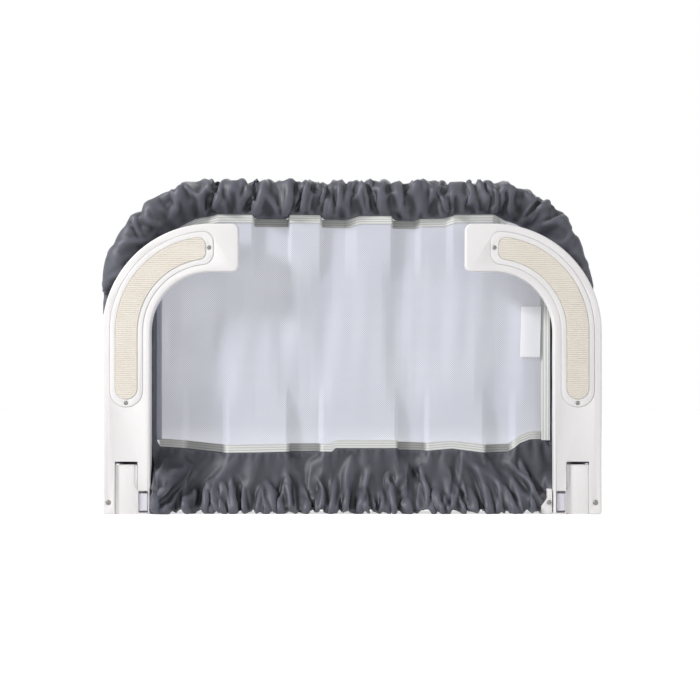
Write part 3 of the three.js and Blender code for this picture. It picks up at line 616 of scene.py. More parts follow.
def makeBracket(side):
    piece = carriedCopy(f"{side}_bracket_moulded", f"{side}_bracket")
    cleaned(piece)
    for vertex in piece.data.vertices:
        if vertex.co.z > bracket["aboveZ"] * mm and vertex.co.y < bracket["frontY"] * mm:
            vertex.co.z += bracket["raised"] * mm
    x0, x1, y0, y1, z0, z1 = bracket["step"]
    xs = (x0, x1) if side == "right" else (-x1, -x0)
    cutBy(piece, block(*xs, y0, y1, z0, z1), "UNION")
    eased(piece, bracket["edge"])
    finished(piece, mouldedPlastic, "white_plastic", f"{side}_half", f"{side}_bracket")
    back = carriedCopy(f"{side}_bracket_back_moulded", f"{side}_bracket_back")
    eased(back, bracket["edge"])
    finished(back, mouldedPlastic, "white_plastic", f"{side}_half", f"{side}_bracket_back")


for side in sides:
    makeBracket(side)
print("brackets made")

# Screws: pan heads with a cross recess, one pattern for each size
screws = {
    "small": {"head": 2.3, "height": 1.2, "shaft": 1.1, "length": 6, "wing": 0.5, "depth": 1.25},
    "big": {"head": 3, "height": 1.6, "shaft": 1.4, "length": 11, "wing": 0.7, "depth": 1.75},
}
screwForm = {"roundShare": 0.7, "crossShare": 0.68, "overlap": 0.2, "turn": 25}


def makeScrewPattern(name, size):
    head = rod("Y", size["head"], -size["height"], 0, 0, 0, 28)
    head.name = f"{name}ScrewPattern"
    rimRounded(head, -size["height"], size["height"] * screwForm["roundShare"], 5)
    cutBy(head, rod("Y", size["shaft"], -screwForm["overlap"], size["length"], 0, 0, 16), "UNION")
    reach = size["head"] * screwForm["crossShare"]
    wing = size["wing"]
    floor = size["depth"] - size["height"]
    for x, z in ((reach, wing), (wing, reach)):
        cutBy(head, block(-x, x, -size["height"] - 1, floor, -z, z))
    cleaned(head)
    return head


def placeScrew(pattern, height, node, body, rear):
    low, high = nodeBox(node)
    seatY = high.y - height if rear else low.y + height
    piece = copied(f"{node}_pressed", pattern)
    piece.location = ((low.x + high.x) / 2 * mm, seatY * mm, (low.z + high.z) / 2 * mm)
    piece.rotation_euler = (math.pi if rear else 0, math.radians(screwForm["turn"]), 0)
    placeApplied()
    finished(piece, screwSteel, "screw_steel", body, node)


def makeScrews():
    patterns = {name: makeScrewPattern(name, size) for name, size in screws.items()}
    places = [
        ("pad_screw_lower", "small", "arm", False),
        ("pad_screw_upper", "small", "arm", False),
        ("prong_screw", "big", "arm", False),
        ("lug_screw", "big", "half", False),
        ("cover_screw_1", "big", "arm", True),
        ("cover_screw_2", "big", "arm", True),
        ("back_screw_1", "big", "half", True),
        ("back_screw_2", "big", "half", True),
    ]
    for side in sides:
        for label, size, body, rear in places:
            node = f"{side}_{label}"
            placeScrew(patterns[size], screws[size]["height"], node, f"{side}_{body}", rear)
    for pattern in patterns.values():
        bpy.data.objects.remove(pattern)


makeScrews()
print("screws made")

# Frame tubes: a ring drawn up the post, spun round the bend and drawn along the rail
tube = {"y": 13, "radius": 11, "slim": 8.9, "wall": 1.4, "slimWall": 1.2, "bend": 100, "topZ": 400}
post = {"x": 281.25, "footZ": 6.3, "endX": {"right": 150, "left": -147.3}}
tubeForm = {"count": 32, "bendSteps": 28, "collarEdge": 0.4}


def makeCornerTube(side):
    # Both are made on the right, up to endX, and the left one is then mirrored
    bpy.ops.object.select_all(action="DESELECT")
    bpy.ops.mesh.primitive_circle_add(
        vertices=tubeForm["count"],
        radius=tube["radius"] * mm,
        location=(post["x"] * mm, tube["y"] * mm, post["footZ"] * mm),
    )
    piece = placeApplied()
    bendZ = tube["topZ"] - tube["bend"]
    bendX = post["x"] - tube["bend"]
    bpy.ops.object.mode_set(mode="EDIT")
    bpy.ops.mesh.select_mode(type="EDGE")
    bpy.ops.mesh.select_all(action="SELECT")
    bpy.ops.mesh.extrude_region_move(TRANSFORM_OT_translate={"value": (0, 0, (bendZ - post["footZ"]) * mm)})
    bpy.ops.mesh.spin(
        steps=tubeForm["bendSteps"],
        angle=quarterTurn,
        center=(bendX * mm, tube["y"] * mm, bendZ * mm),
        axis=(0, 1, 0),
    )
    reach = (post["endX"][side] - bendX) * mm
    bpy.ops.mesh.extrude_region_move(TRANSFORM_OT_translate={"value": (reach, 0, 0)})
    bpy.ops.mesh.select_all(action="SELECT")
    bpy.ops.mesh.remove_doubles(threshold=nearly * mm)
    turnedOutwards()
    if side == "left":
        turned = mirrored(piece, "left_corner_pipe")
        bpy.data.objects.remove(piece)
        piece = turned
    piece.name = f"{side}_corner_pipe"
    applied(piece, "SOLIDIFY", thickness=tube["wall"] * mm, offset=-1)
    finished(piece, tubePaint, "tube_paint", f"{side}_half", f"{side}_corner_tube")


def makeStraightTube(node, radius, wall, body):
    low, high = nodeBox(node)
    bpy.ops.object.select_all(action="DESELECT")
    bpy.ops.mesh.primitive_cylinder_add(
        vertices=tubeForm["count"],
        radius=radius * mm,
        depth=(high.x - low.x) * mm,
        location=(low + high) / 2 * mm,
        rotation=(0, quarterTurn, 0),
        end_fill_type="NOTHING",
    )
    piece = placeApplied()
    piece.name = f"{node}_pipe"
    applied(piece, "SOLIDIFY", thickness=wall * mm, offset=-1)
    finished(piece, tubePaint, "tube_paint", body, node)


for side in sides:
    makeCornerTube(side)
makeStraightTube("top_inner_tube", tube["slim"], tube["slimWall"], "right_half")
makeStraightTube("bottom_inner_tube", tube["slim"], tube["slimWall"], "right_half")
makeStraightTube("bottom_outer_tube", tube["radius"], tube["wall"], "left_half")
for node in ("top_collar", "bottom_collar"):
    collar = carriedCopy(f"{node}_moulded", node)
    eased(collar, tubeForm["collarEdge"])
    finished(collar, mouldedPlastic, "white_plastic", "left_half", node)
for side in sides:
    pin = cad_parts[f"{side}_hinge_pin"]
    pin.data.materials.clear()
    pin.data.materials.append(screwSteel)
print("tubes made")


def makeSpring(side):
    node = f"{side}_button_spring"
    coil = carriedCopy(f"{side}_button_coil", node)
    cleaned(coil)
    finished(coil, screwSteel, "screw_steel", f"{side}_arm", node)
    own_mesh(coil)


for side in sides:
    makeSpring(side)
print("springs made")

# Cloth materials, which follow each piece's own UV map, laid out in millimetres of flat cloth
def threadsAlong(tree, axes, pitch):
    # For each axis 0 between two threads and 1 on a thread's crown
    place = addNode(tree, "UVMap", {"uv_map": "flat"}).outputs["UV"]
    height = None
    for axis in axes:
        settings = {"bands_direction": axis, "Scale": math.pi / (10 * pitch)}
        wave = addNode(tree, "TexWave", settings, {"Vector": place}).outputs["Fac"]
        if height:
            wave = addNode(tree, "Math", {"operation": "ADD"}, {0: height, 1: wave}).outputs[0]
        height = wave
    return height


def makeDarkPolyester():
    # Woven polyester taffeta, calendered: charcoal with a satin sheen and a painted highlight along its
    # folds.
    # Its threads, 0.25 mm apart, are drawn 0.9 mm apart so that they show at all.
    settings = {
        "Base Color": linearColor("#41424a"),
        "Roughness": 0.5,
        "IOR": 1.5,
        "Sheen Weight": 0.1,
        "Sheen Roughness": 0.35,
        "Specular IOR Level": 0.4,
    }
    material, tree, shader = newMaterial("charcoalWovenPolyester", settings)
    embossed(tree, shader, threadsAlong(tree, "XY", pitch=0.9), strength=0.12, depth=0.2)
    # painted highlight on the crests of the folds and painted shade in their hollows, read from the mesh's
    # pointiness, over a random cloudy tone
    fold = addNode(tree, "NewGeometry").outputs["Pointiness"]
    settings = {"From Min": 0.47, "From Max": 0.536, "To Max": 0.85}
    crest = addNode(tree, "MapRange", settings, {"Value": fold}).outputs["Result"]
    settings = {"operation": "MULTIPLY_ADD", 1: 0.4}
    links = {0: noiseIn(tree, size=60, detail=4), 2: crest}
    share = addNode(tree, "Math", settings, links).outputs[0]
    # the dark end is painted shade in the hollows, and the light end a painted highlight on the crests
    toned(tree, shader, share, "#101115", "#5a5b65")
    return material


def makeBindingTape():
    # Woven polyester binding: pale grey, ribbed lengthwise every 3 mm and matte, with painted shade between
    # the ribs and a painted shadow where the pleats fold it back
    paintedPleatShadow = {"frontY": 10, "backY": 16, "most": 0.7}
    settings = {"Base Color": linearColor("#c6c8c8"), "Roughness": 0.75, "Sheen Weight": 0.2}
    material, tree, shader = newMaterial("paleGreyWovenBinding", settings)
    ribs = threadsAlong(tree, "Y", pitch=3)
    embossed(tree, shader, ribs, strength=0.5, depth=0.3)
    # painted shade and highlight: the colour is darker between the ribs and lighter on their crowns
    tone = toned(tree, shader, ribs, "#c0c1bf", "#e8e9e6")
    # painted shadow: the tape's colour is darkened the further back in Y it lies, where the pleats fold it
    # under
    place = addNode(tree, "TexCoord").outputs["Object"]
    depth = addNode(tree, "SeparateXYZ", {}, {0: place}).outputs["Y"]
    settings = {"From Min": paintedPleatShadow["frontY"] * mm, "From Max": paintedPleatShadow["backY"] * mm, "To Max": paintedPleatShadow["most"]}
    back = addNode(tree, "MapRange", settings, {"Value": depth}).outputs["Result"]
    settings = {"data_type": "RGBA", "blend_type": "MULTIPLY", 7: linearColor("#8b8c8c")}
    shade = addNode(tree, "Mix", settings, {0: back, 6: tone})
    tree.links.new(shade.outputs[2], shader.inputs["Base Color"])
    return material


def makeNetFabric():
    # Knitted polyester net with diamond holes: real ones 1.5 mm apart, drawn 2.7 mm apart so
    # that they show. Threads are pale blue-grey, and the knit is tighter in some places.
    net = {"pitch": 2.7, "thread": 1.1, "soft": 0.2, "cover": 0.84, "hole": 0.5}
    settings = {"Base Color": linearColor("#bcbfd0"), "Roughness": 0.7, "Sheen Weight": 0.2}
    material, tree, shader = newMaterial("paleBlueKnittedNet", settings)
    toned(tree, shader, noiseIn(tree, size=190, detail=1), "#aeb1c2", "#c9ccdb")
    # two slanted sets of threads leave a hole where neither has one
    place = addNode(tree, "UVMap", {"uv_map": "flat"}).outputs["UV"]
    axes = addNode(tree, "SeparateXYZ", {}, {0: place}).outputs
    edge = net["thread"] / 2
    masks = []
    for operation in ("ADD", "SUBTRACT"):
        links = {0: axes["X"], 1: axes["Y"]}
        slant = addNode(tree, "Math", {"operation": operation}, links).outputs[0]
        settings = {"operation": "PINGPONG", 1: net["pitch"] / 2}
        away = addNode(tree, "Math", settings, {0: slant}).outputs[0]
        settings = {"From Min": edge - net["soft"], "From Max": edge + net["soft"]}
        masks.append(addNode(tree, "MapRange", settings, {"Value": away}).outputs["Result"])
    hole = addNode(tree, "Math", {"operation": "MULTIPLY"}, {0: masks[0], 1: masks[1]}).outputs[0]
    # where the net is drawn tight its holes stand open
    settings = {"From Min": 0.42, "From Max": 0.6, "To Min": 0.62, "To Max": 1}
    links = {"Value": noiseIn(tree, size=70, detail=2)}
    tension = addNode(tree, "MapRange", settings, links).outputs["Result"]
    shown = addNode(tree, "Math", {"operation": "MULTIPLY"}, {0: hole, 1: tension}).outputs[0]
    settings = {"To Min": net["cover"], "To Max": net["hole"]}
    alpha = addNode(tree, "MapRange", settings, {"Value": shown})
    tree.links.new(alpha.outputs["Result"], shader.inputs["Alpha"])
    return material


def makePatchSatin():
    # Plain satin patch, woven polyester, almost white with a blue cast
    settings = {"Base Color": linearColor("#fafbff"), "Roughness": 0.4, "Sheen Weight": 0.2}
    material, tree, shader = newMaterial("whiteWovenSatin", settings)
    embossed(tree, shader, threadsAlong(tree, "X", pitch=0.7), strength=0.1, depth=0.2)
    return material


darkPolyester = makeDarkPolyester()
bindingTape = makeBindingTape()
netFabric = makeNetFabric()
patchSatin = makePatchSatin()
print("cloth materials made")

# The net's pleats, kept from end to end: forward is -Y. Each row is x and its fold in Y.
pleats = {
    "top": [
        (-244, 0), (-182, 0), (-169, -5), (-125.5, -5.5), (-123, 4), (-80.5, 4.5), (-78, -5.5),
        (-40, -5), (-37.5, 4), (-9, 3.5), (6, -4), (49.5, -5.5), (52, 4.5), (80, 4), (87, -1),
        (119, -1), (128, -5), (178, -4.5), (186, 0), (244, 0),
    ],
    "bottom": [
        (-244, 1), (-214, 0), (-207, 5), (-164, 5), (-157, -4.5), (-82, -5.5), (-79.5, 4.5),
        (-41, 5), (-37.5, -5), (55.5, -5.5), (58, 4.5), (92, 4.5), (97, -4.5), (166, -5.5),
        (170, 5), (199, 4.5), (206, -4), (238, -3), (244, -1),
    ],
    "fade": (95, 355),
    "middleZ": 225,
    "middleShare": 0.75,
    "sharpShare": 0.35,
    "flatEdge": 18,
    # pitch, depth, phase and slant of each slow ripple
    "ripples": [(47, 1.1, 0.3, 0.9), (29, 0.6, 1.9, -1.3), (71, 1.2, 4.1, 0.5)],
}
# How far the two seams rise and fall along x
seams = {
    "top": [
        (-244, 0), (-181, 4), (-169, 6.5), (-125.5, 6), (-123, 1.5), (-80.5, 1), (-78, 6),
        (-40, 5.5), (-37.5, 0.5), (-5, 0), (10, 4.5), (49.5, 4.5), (52, -0.5), (81, -1), (85, 1),
        (117, 1.5), (131, 6), (179, 6.3), (195, 0), (244, 0),
    ],
    "bottom": [
        (-256, 14), (-248, 14), (-244.5, 3), (-214, 1), (-190, -2), (-161, -5), (-120, -4.5),
        (-79, -3.5), (-25, -3.5), (-21, 1), (57, 1), (58, -1.2), (94, -2.5), (126, 0.4), (170, -5),
        (198, -4), (205, 1), (212, 7), (225, 12), (256, 12.5),
    ],
    "bottomZ": 80,
}
netEdge = {"half": 247.4, "bendX": 181.25, "bendZ": 300, "rise": 69.7}


def along(table, x):
    places, values = zip(*table)
    return np.interp(x, places, values)


def smooth(value, low, high):
    share = np.clip((np.asarray(value) - low) / (high - low), 0, 1)
    return share * share * (3 - 2 * share)


def softened(table, x):
    # the same folds, rounded as they are where the net hangs free
    return sum(along(table, x + shift) for shift in range(-12, 13, 3)) / 9


def netEdgeZ(x):
    past = np.clip((np.abs(x) - netEdge["bendX"]) / (netEdge["half"] - netEdge["bendX"]), 0, 1)
    return netEdge["bendZ"] + netEdge["rise"] * np.sqrt(1 - past**2)


def netY(x, z):
    # The pleats of the two seams fade into each other, with slow ripples where they are free
    share = smooth(z, *pleats["fade"])
    free = 1 - np.abs(2 * share - 1)
    sharp = along(pleats["top"], x) * share + along(pleats["bottom"], x) * (1 - share)
    soft = softened(pleats["top"], x) * share + softened(pleats["bottom"], x) * (1 - share)
    folds = sharp + (soft - sharp) * smooth(free, 0, pleats["sharpShare"])
    folds = folds * (1 - (1 - pleats["middleShare"]) * free)
    edge = smooth(netEdge["half"] - np.abs(x), 0, pleats["flatEdge"])
    for pitch, depth, phase, slant in pleats["ripples"]:
        turn = (x + slant * 0.05 * (z - pleats["middleZ"])) / pitch * 2 * math.pi + phase
        folds = folds + depth * np.sin(turn) * free
    return tube["y"] + folds * edge


def sheetPiece(name, places, flat, keep=None):
    # A grid of cloth in mm, with its flat places in a UV map; keep picks its squares
    rows, columns = places.shape[:2]
    index = np.arange(rows * columns).reshape(rows, columns)
    corners = [index[:-1, :-1], index[:-1, 1:], index[1:, 1:], index[1:, :-1]]
    faces = np.stack(corners, axis=-1).reshape(-1, 4)
    if keep is not None:
        faces = faces[keep.ravel()]
    used = np.unique(faces)
    renumbered = np.full(rows * columns, -1)
    renumbered[used] = np.arange(len(used))
    mesh = bpy.data.meshes.new(name)
    points = places.reshape(-1, 3)[used] * mm
    mesh.from_pydata(points.tolist(), [], renumbered[faces].tolist())
    layer = mesh.uv_layers.new(name="flat")
    corner = np.empty(len(mesh.loops), dtype=np.int32)
    mesh.loops.foreach_get("vertex_index", corner)
    layer.data.foreach_set("uv", flat.reshape(-1, 2)[used][corner].ravel().astype(np.float32))
    piece = bpy.data.objects.new(name, mesh)
    bpy.context.scene.collection.objects.link(piece)
    return piece, used


# Cloth is simulated at ten times its size, where the solver holds thin folds better. The gaps are
# in mm at real size, and mostGrowth is how much larger than its place cloth may be cut.
clothCare = {
    "scale": 10,
    "frames": 40,
    "quality": 7,
    "mostGrowth": 0.6,
    "gravity": 0.3,
    "formGap": 1,
    "formFriction": 12,
    "clothGap": 1.5,
    "hitQuality": 3,
}
clothFeel = {
    "mass": 0.25,
    "tension_stiffness": 20,
    "compression_stiffness": 20,
    "shear_stiffness": 4,
    "bending_stiffness": 8,
    "air_damping": 3,
    "tension_damping": 10,
    "compression_damping": 10,
    "shear_damping": 8,
    "bending_damping": 0.6,
}


def collider(name, places):
    # A form that the cloth lies on, scaled up as the cloth is
    piece, _ = sheetPiece(name, places, np.zeros((*places.shape[:2], 2)))
    piece.data.transform(Matrix.Scale(clothCare["scale"], 4))
    pick(piece)
    bpy.ops.object.modifier_add(type="COLLISION")
    piece.collision.thickness_outer = clothCare["formGap"] * mm * clothCare["scale"]
    piece.collision.cloth_friction = clothCare["formFriction"]
    return piece


def railForm(name, stations):
    # A rail of the frame, from its stations' centre x and z and outward x and z
    ring = np.linspace(0, 2 * math.pi, 21)
    rail = np.zeros((len(ring), len(stations), 3))
    for k, (x, z, outX, outZ) in enumerate(stations):
        rail[:, k, 0] = x + outX * tube["radius"] * np.cos(ring)
        rail[:, k, 1] = tube["y"] + tube["radius"] * np.sin(ring)
        rail[:, k, 2] = z + outZ * tube["radius"] * np.cos(ring)
    return collider(name, rail)


def edgesPinned(rows, columns):
    pinned = np.zeros((rows, columns))
    pinned[0, :] = pinned[-1, :] = 1
    pinned[:, 0] = pinned[:, -1] = 1
    return pinned


def simulated(piece, start, growth, pinned, look):
    # Pinned seams stay, and cloth that is cut larger than its place folds up between them.
    # No point ends further from its start than look allows.
    scale = clothCare["scale"]
    most = clothCare["mostGrowth"]
    coordinates = np.empty(len(piece.data.vertices) * 3)
    piece.data.vertices.foreach_get("co", coordinates)
    piece.data.vertices.foreach_set("co", coordinates * scale)
    seam = piece.vertex_groups.new(name="seam")
    seam.add(np.nonzero(pinned)[0].tolist(), 1, "REPLACE")
    kept = piece.vertex_groups.new(name="kept")
    for i, value in enumerate(growth):
        kept.add([i], 1 - min(max((value - 1) / most, 0), 1), "REPLACE")
    modifier = piece.modifiers.new("cloth", "CLOTH")
    settings = modifier.settings
    settings.quality = clothCare["quality"]
    settings.vertex_group_mass = "seam"
    settings.vertex_group_shrink = "kept"
    settings.shrink_min = -most
    settings.shrink_max = 0
    feel = {**clothFeel, "bending_stiffness": look["bending"]}
    for name, value in feel.items():
        setattr(settings, name, value)
    settings.effector_weights.gravity = clothCare["gravity"]
    modifier.collision_settings.distance_min = clothCare["clothGap"] * mm * scale
    modifier.collision_settings.collision_quality = clothCare["hitQuality"]
    modifier.point_cache.frame_start = 1
    modifier.point_cache.frame_end = clothCare["frames"]
    scene = bpy.context.scene
    for step in range(1, clothCare["frames"] + 1):
        scene.frame_set(step)
    depsgraph = bpy.context.evaluated_depsgraph_get()
    settled = bpy.data.meshes.new_from_object(
        piece.evaluated_get(depsgraph), preserve_all_data_layers=True, depsgraph=depsgraph
    )
    places = np.empty(len(settled.vertices) * 3)
    settled.vertices.foreach_get("co", places)
    piece.modifiers.clear()
    piece.vertex_groups.clear()
    scene.frame_set(1)
    moved = places.reshape(-1, 3) / scale / mm - start
    size = np.linalg.norm(moved, axis=1)
    return start + moved * np.minimum(1, look["most"] / np.maximum(size, 0.001))[:, None]


def waves(seed, count, pitches, slants):
    # Slanted waves with seeded phases, each of height about 1
    chance = random.Random(seed)
    parts = []
    for _ in range(count):
        part = (chance.uniform(*pitches), chance.uniform(-slants, slants), chance.uniform(0, 6.28))
        parts.append(part)

    def height(a, b):
        total = 0
        for pitch, slant, phase in parts:
            total = total + np.sin((a + slant * b) / pitch * 2 * math.pi + phase)
        return total / math.sqrt(count / 2)

    return height


def evenly(rows, r, y, seamShare):
    # The row lengths of a ring of cloth and its places there, the same length apart along it
    length = np.concatenate([[0], np.cumsum(np.hypot(np.diff(r), np.diff(y)))])
    rowLength = np.linspace(0, length[-1], rows)
    return (rowLength, *(np.interp(rowLength, length, values) for values in (r, y, seamShare)))


def setPlaces(piece, places):
    piece.data.vertices.foreach_set("co", (places * mm).ravel())
    piece.data.update()


# Sharp folds that run across the cloth, each with a hollow on one side of its ridge
creaseForm = {
    "bowOver": 30,
    "widenOver": 90,
    "fade": (7, 9),
    "sharpness": 1.25,
    "hollowAt": 1.8,
    "hollowShare": 0.85,
}


def creaseLines(seed, start, end, look):
    chance = random.Random(seed)
    lines = []
    at = start
    while at < end:
        at += look["pitch"] * chance.uniform(0.5, 1.5)
        low = chance.uniform(*look["low"])
        line = {
            "at": at,
            "slant": chance.uniform(-1, 1) * look["slant"],
            "bow": chance.uniform(-1, 1) * look["bow"],
            "low": low,
            "high": low + chance.uniform(*look["run"]),
            "width": chance.uniform(*look["width"]),
            "depth": chance.uniform(*look["depth"]),
            "hollow": chance.choice((-1, 1)),
        }
        lines.append(line)
    return lines


def creaseHeight(lines, a, b):
    # a is the place along the flat cloth and b the place across it
    total = np.zeros_like(a)
    outer, inner = creaseForm["fade"]
    for line in lines:
        up = b - (line["low"] + line["high"]) / 2
        off = a - line["at"] - line["slant"] * up - line["bow"] * (up / creaseForm["bowOver"]) ** 2
        off = off / (line["width"] * (1 + np.abs(up) / creaseForm["widenOver"]))
        near = smooth(b, line["low"] - outer, line["low"] + inner)
        near = near * (1 - smooth(b, line["high"] - inner, line["high"] + outer))
        ridge = np.exp(-(np.abs(off) ** creaseForm["sharpness"]))
        hollow = np.exp(-((off - line["hollow"] * creaseForm["hollowAt"]) ** 2))
        total += line["depth"] * near * (ridge - creaseForm["hollowShare"] * hollow)
    return total


def creased(piece, heightAt, middleZ):
    # Moves each point along its normal, outwards from the rail, by the height at its place on
    # the flat cloth
    mesh = piece.data
    count = len(mesh.vertices)
    places, normals = np.empty(count * 3), np.empty(count * 3)
    mesh.vertices.foreach_get("co", places)
    mesh.vertex_normals.foreach_get("vector", normals)
    corner = np.empty(len(mesh.loops), dtype=np.int32)
    mesh.loops.foreach_get("vertex_index", corner)
    onCloth = np.empty(len(mesh.loops) * 2)
    mesh.uv_layers["flat"].data.foreach_get("uv", onCloth)
    flat = np.zeros((count, 2))
    flat[corner] = onCloth.reshape(-1, 2)
    places = places.reshape(-1, 3) / mm
    normals = normals.reshape(-1, 3)
    turned = np.sign(np.sum(normals[:, 1:] * (places[:, 1:] - (tube["y"], middleZ))))
    places += normals * (turned * heightAt(flat[:, 0], flat[:, 1], places))[:, None]
    return places


def clothFinished(piece, shaped, thickness, *nodes):
    applied(piece, "SUBSURF", levels=1, render_levels=1)
    setPlaces(piece, shaped(piece))
    applied(piece, "SOLIDIFY", thickness=thickness * mm, offset=0)
    pick(piece)
    bpy.ops.object.shade_smooth()
    dressed(piece, darkPolyester, "dark_fabric", *nodes)


# Sleeve round the rail and posts: one run from the left post's foot over the top. Each row of out
# is a distance along it and how far the cloth stands out there from the tube's middle.
sleeve = {
    "startZ": 61.8,
    "foot": 20.2,
    "footInward": 14,
    "half": 14.6,
    "teardrop": 0.6,
    "step": 3.6,
    "rows": 31,
    "out": [
        (0, 34), (120, 35), (218, 35), (242, 32.5), (255, 27), (270, 25.5), (293, 21),
        (331, 18), (350, 20), (375, 22), (400, 19.5), (738, 18.5), (760, 16), (781, 14.5),
        (825, 14), (868, 16), (886, 20.5), (895, 25), (930, 25), (1000, 22), (1113, 21),
    ],
    "inward": {"side": 33.5, "top": 30},
    "seamGrowth": 0.06,
    "topGrowth": 0.24,
    "bendGrowth": 0.12,
    "sideGrowth": 0.03,
    "hug": 2.5,
    "thickness": 0.8,
    "startWave": 1.2,
    "topShare": (0.75, 1),
    "footFade": 6,
    "seamFade": 9,
    "skin": 0.6,
    "ringFit": (0.7, 1.4),
    "bending": 8,
    "most": 16,
    "offTube": 1.3,
    "clearY": -9.3,
    "lowest": -4.8,
    "highest": 3.4,
    "creaseWidth": 1.33,
}
sleeveCreases = {
    "sharp": {
        "pitch": 12, "slant": 0.55, "bow": 4, "low": (-58, 20), "run": (22, 60),
        "width": (2, 3.4), "depth": (1.6, 3.4),
    },
    "broad": {
        "pitch": 36, "slant": 0.6, "bow": 5, "low": (-60, -10), "run": (50, 95),
        "width": (4, 6.5), "depth": (2.8, 4.8),
    },
}


def railPlace(s):
    # Centre of the frame tube and its outward direction, s mm from the left post's start
    side = tube["topZ"] - tube["bend"] - sleeve["startZ"]
    corner = tube["bend"] * quarterTurn
    whole = 2 * side + 2 * corner + 2 * (post["x"] - tube["bend"])
    t = s if s <= whole / 2 else whole - s
    mirror = 1 if s <= whole / 2 else -1
    bendX = post["x"] - tube["bend"]
    bendZ = tube["topZ"] - tube["bend"]
    if t < side:
        x, z, outX, outZ = -post["x"], sleeve["startZ"] + t, -1, 0
    elif t < side + corner:
        angle = (t - side) / tube["bend"]
        outX, outZ = -math.cos(angle), math.sin(angle)
        x, z = -bendX + tube["bend"] * outX, bendZ + tube["bend"] * outZ
    else:
        x, z, outX, outZ = -bendX + t - side - corner, tube["topZ"], 0, 1
    share = min(max((t - side) / corner, 0), 1)
    return x * mirror, z, outX * mirror, outZ, share, whole


def sleeveInward(s):
    # How far the seam lies inside the tube's middle
    x, z, outX, outZ, share, _ = railPlace(s)
    across = tube["bend"] - sleeve["inward"]["side"]
    up = tube["bend"] - sleeve["inward"]["top"]
    seam = tube["bend"] - 1 / math.hypot(outX / across, outZ / up)
    return seam - along(seams["top"], x - outX * seam) * max(outZ, 0)


def keptOff(places, least):
    # Moves points that lie within the frame tube, or its collar, out to the given radius
    x, y, z = places[:, 0], places[:, 1] - tube["y"], places[:, 2]
    over = np.maximum(np.abs(x) - post["x"] + tube["bend"], 0)
    up = np.maximum(z - tube["topZ"] + tube["bend"], 0)
    whole = np.maximum(np.hypot(over, up), 0.001)
    radius = whole - tube["bend"]
    away = np.maximum(np.hypot(radius, y), nearly)
    more = np.maximum(least / away, 1) - 1
    places[:, 0] += np.sign(x) * over / whole * radius * more
    places[:, 1] += y * more
    places[:, 2] += up / whole * radius * more
    return places


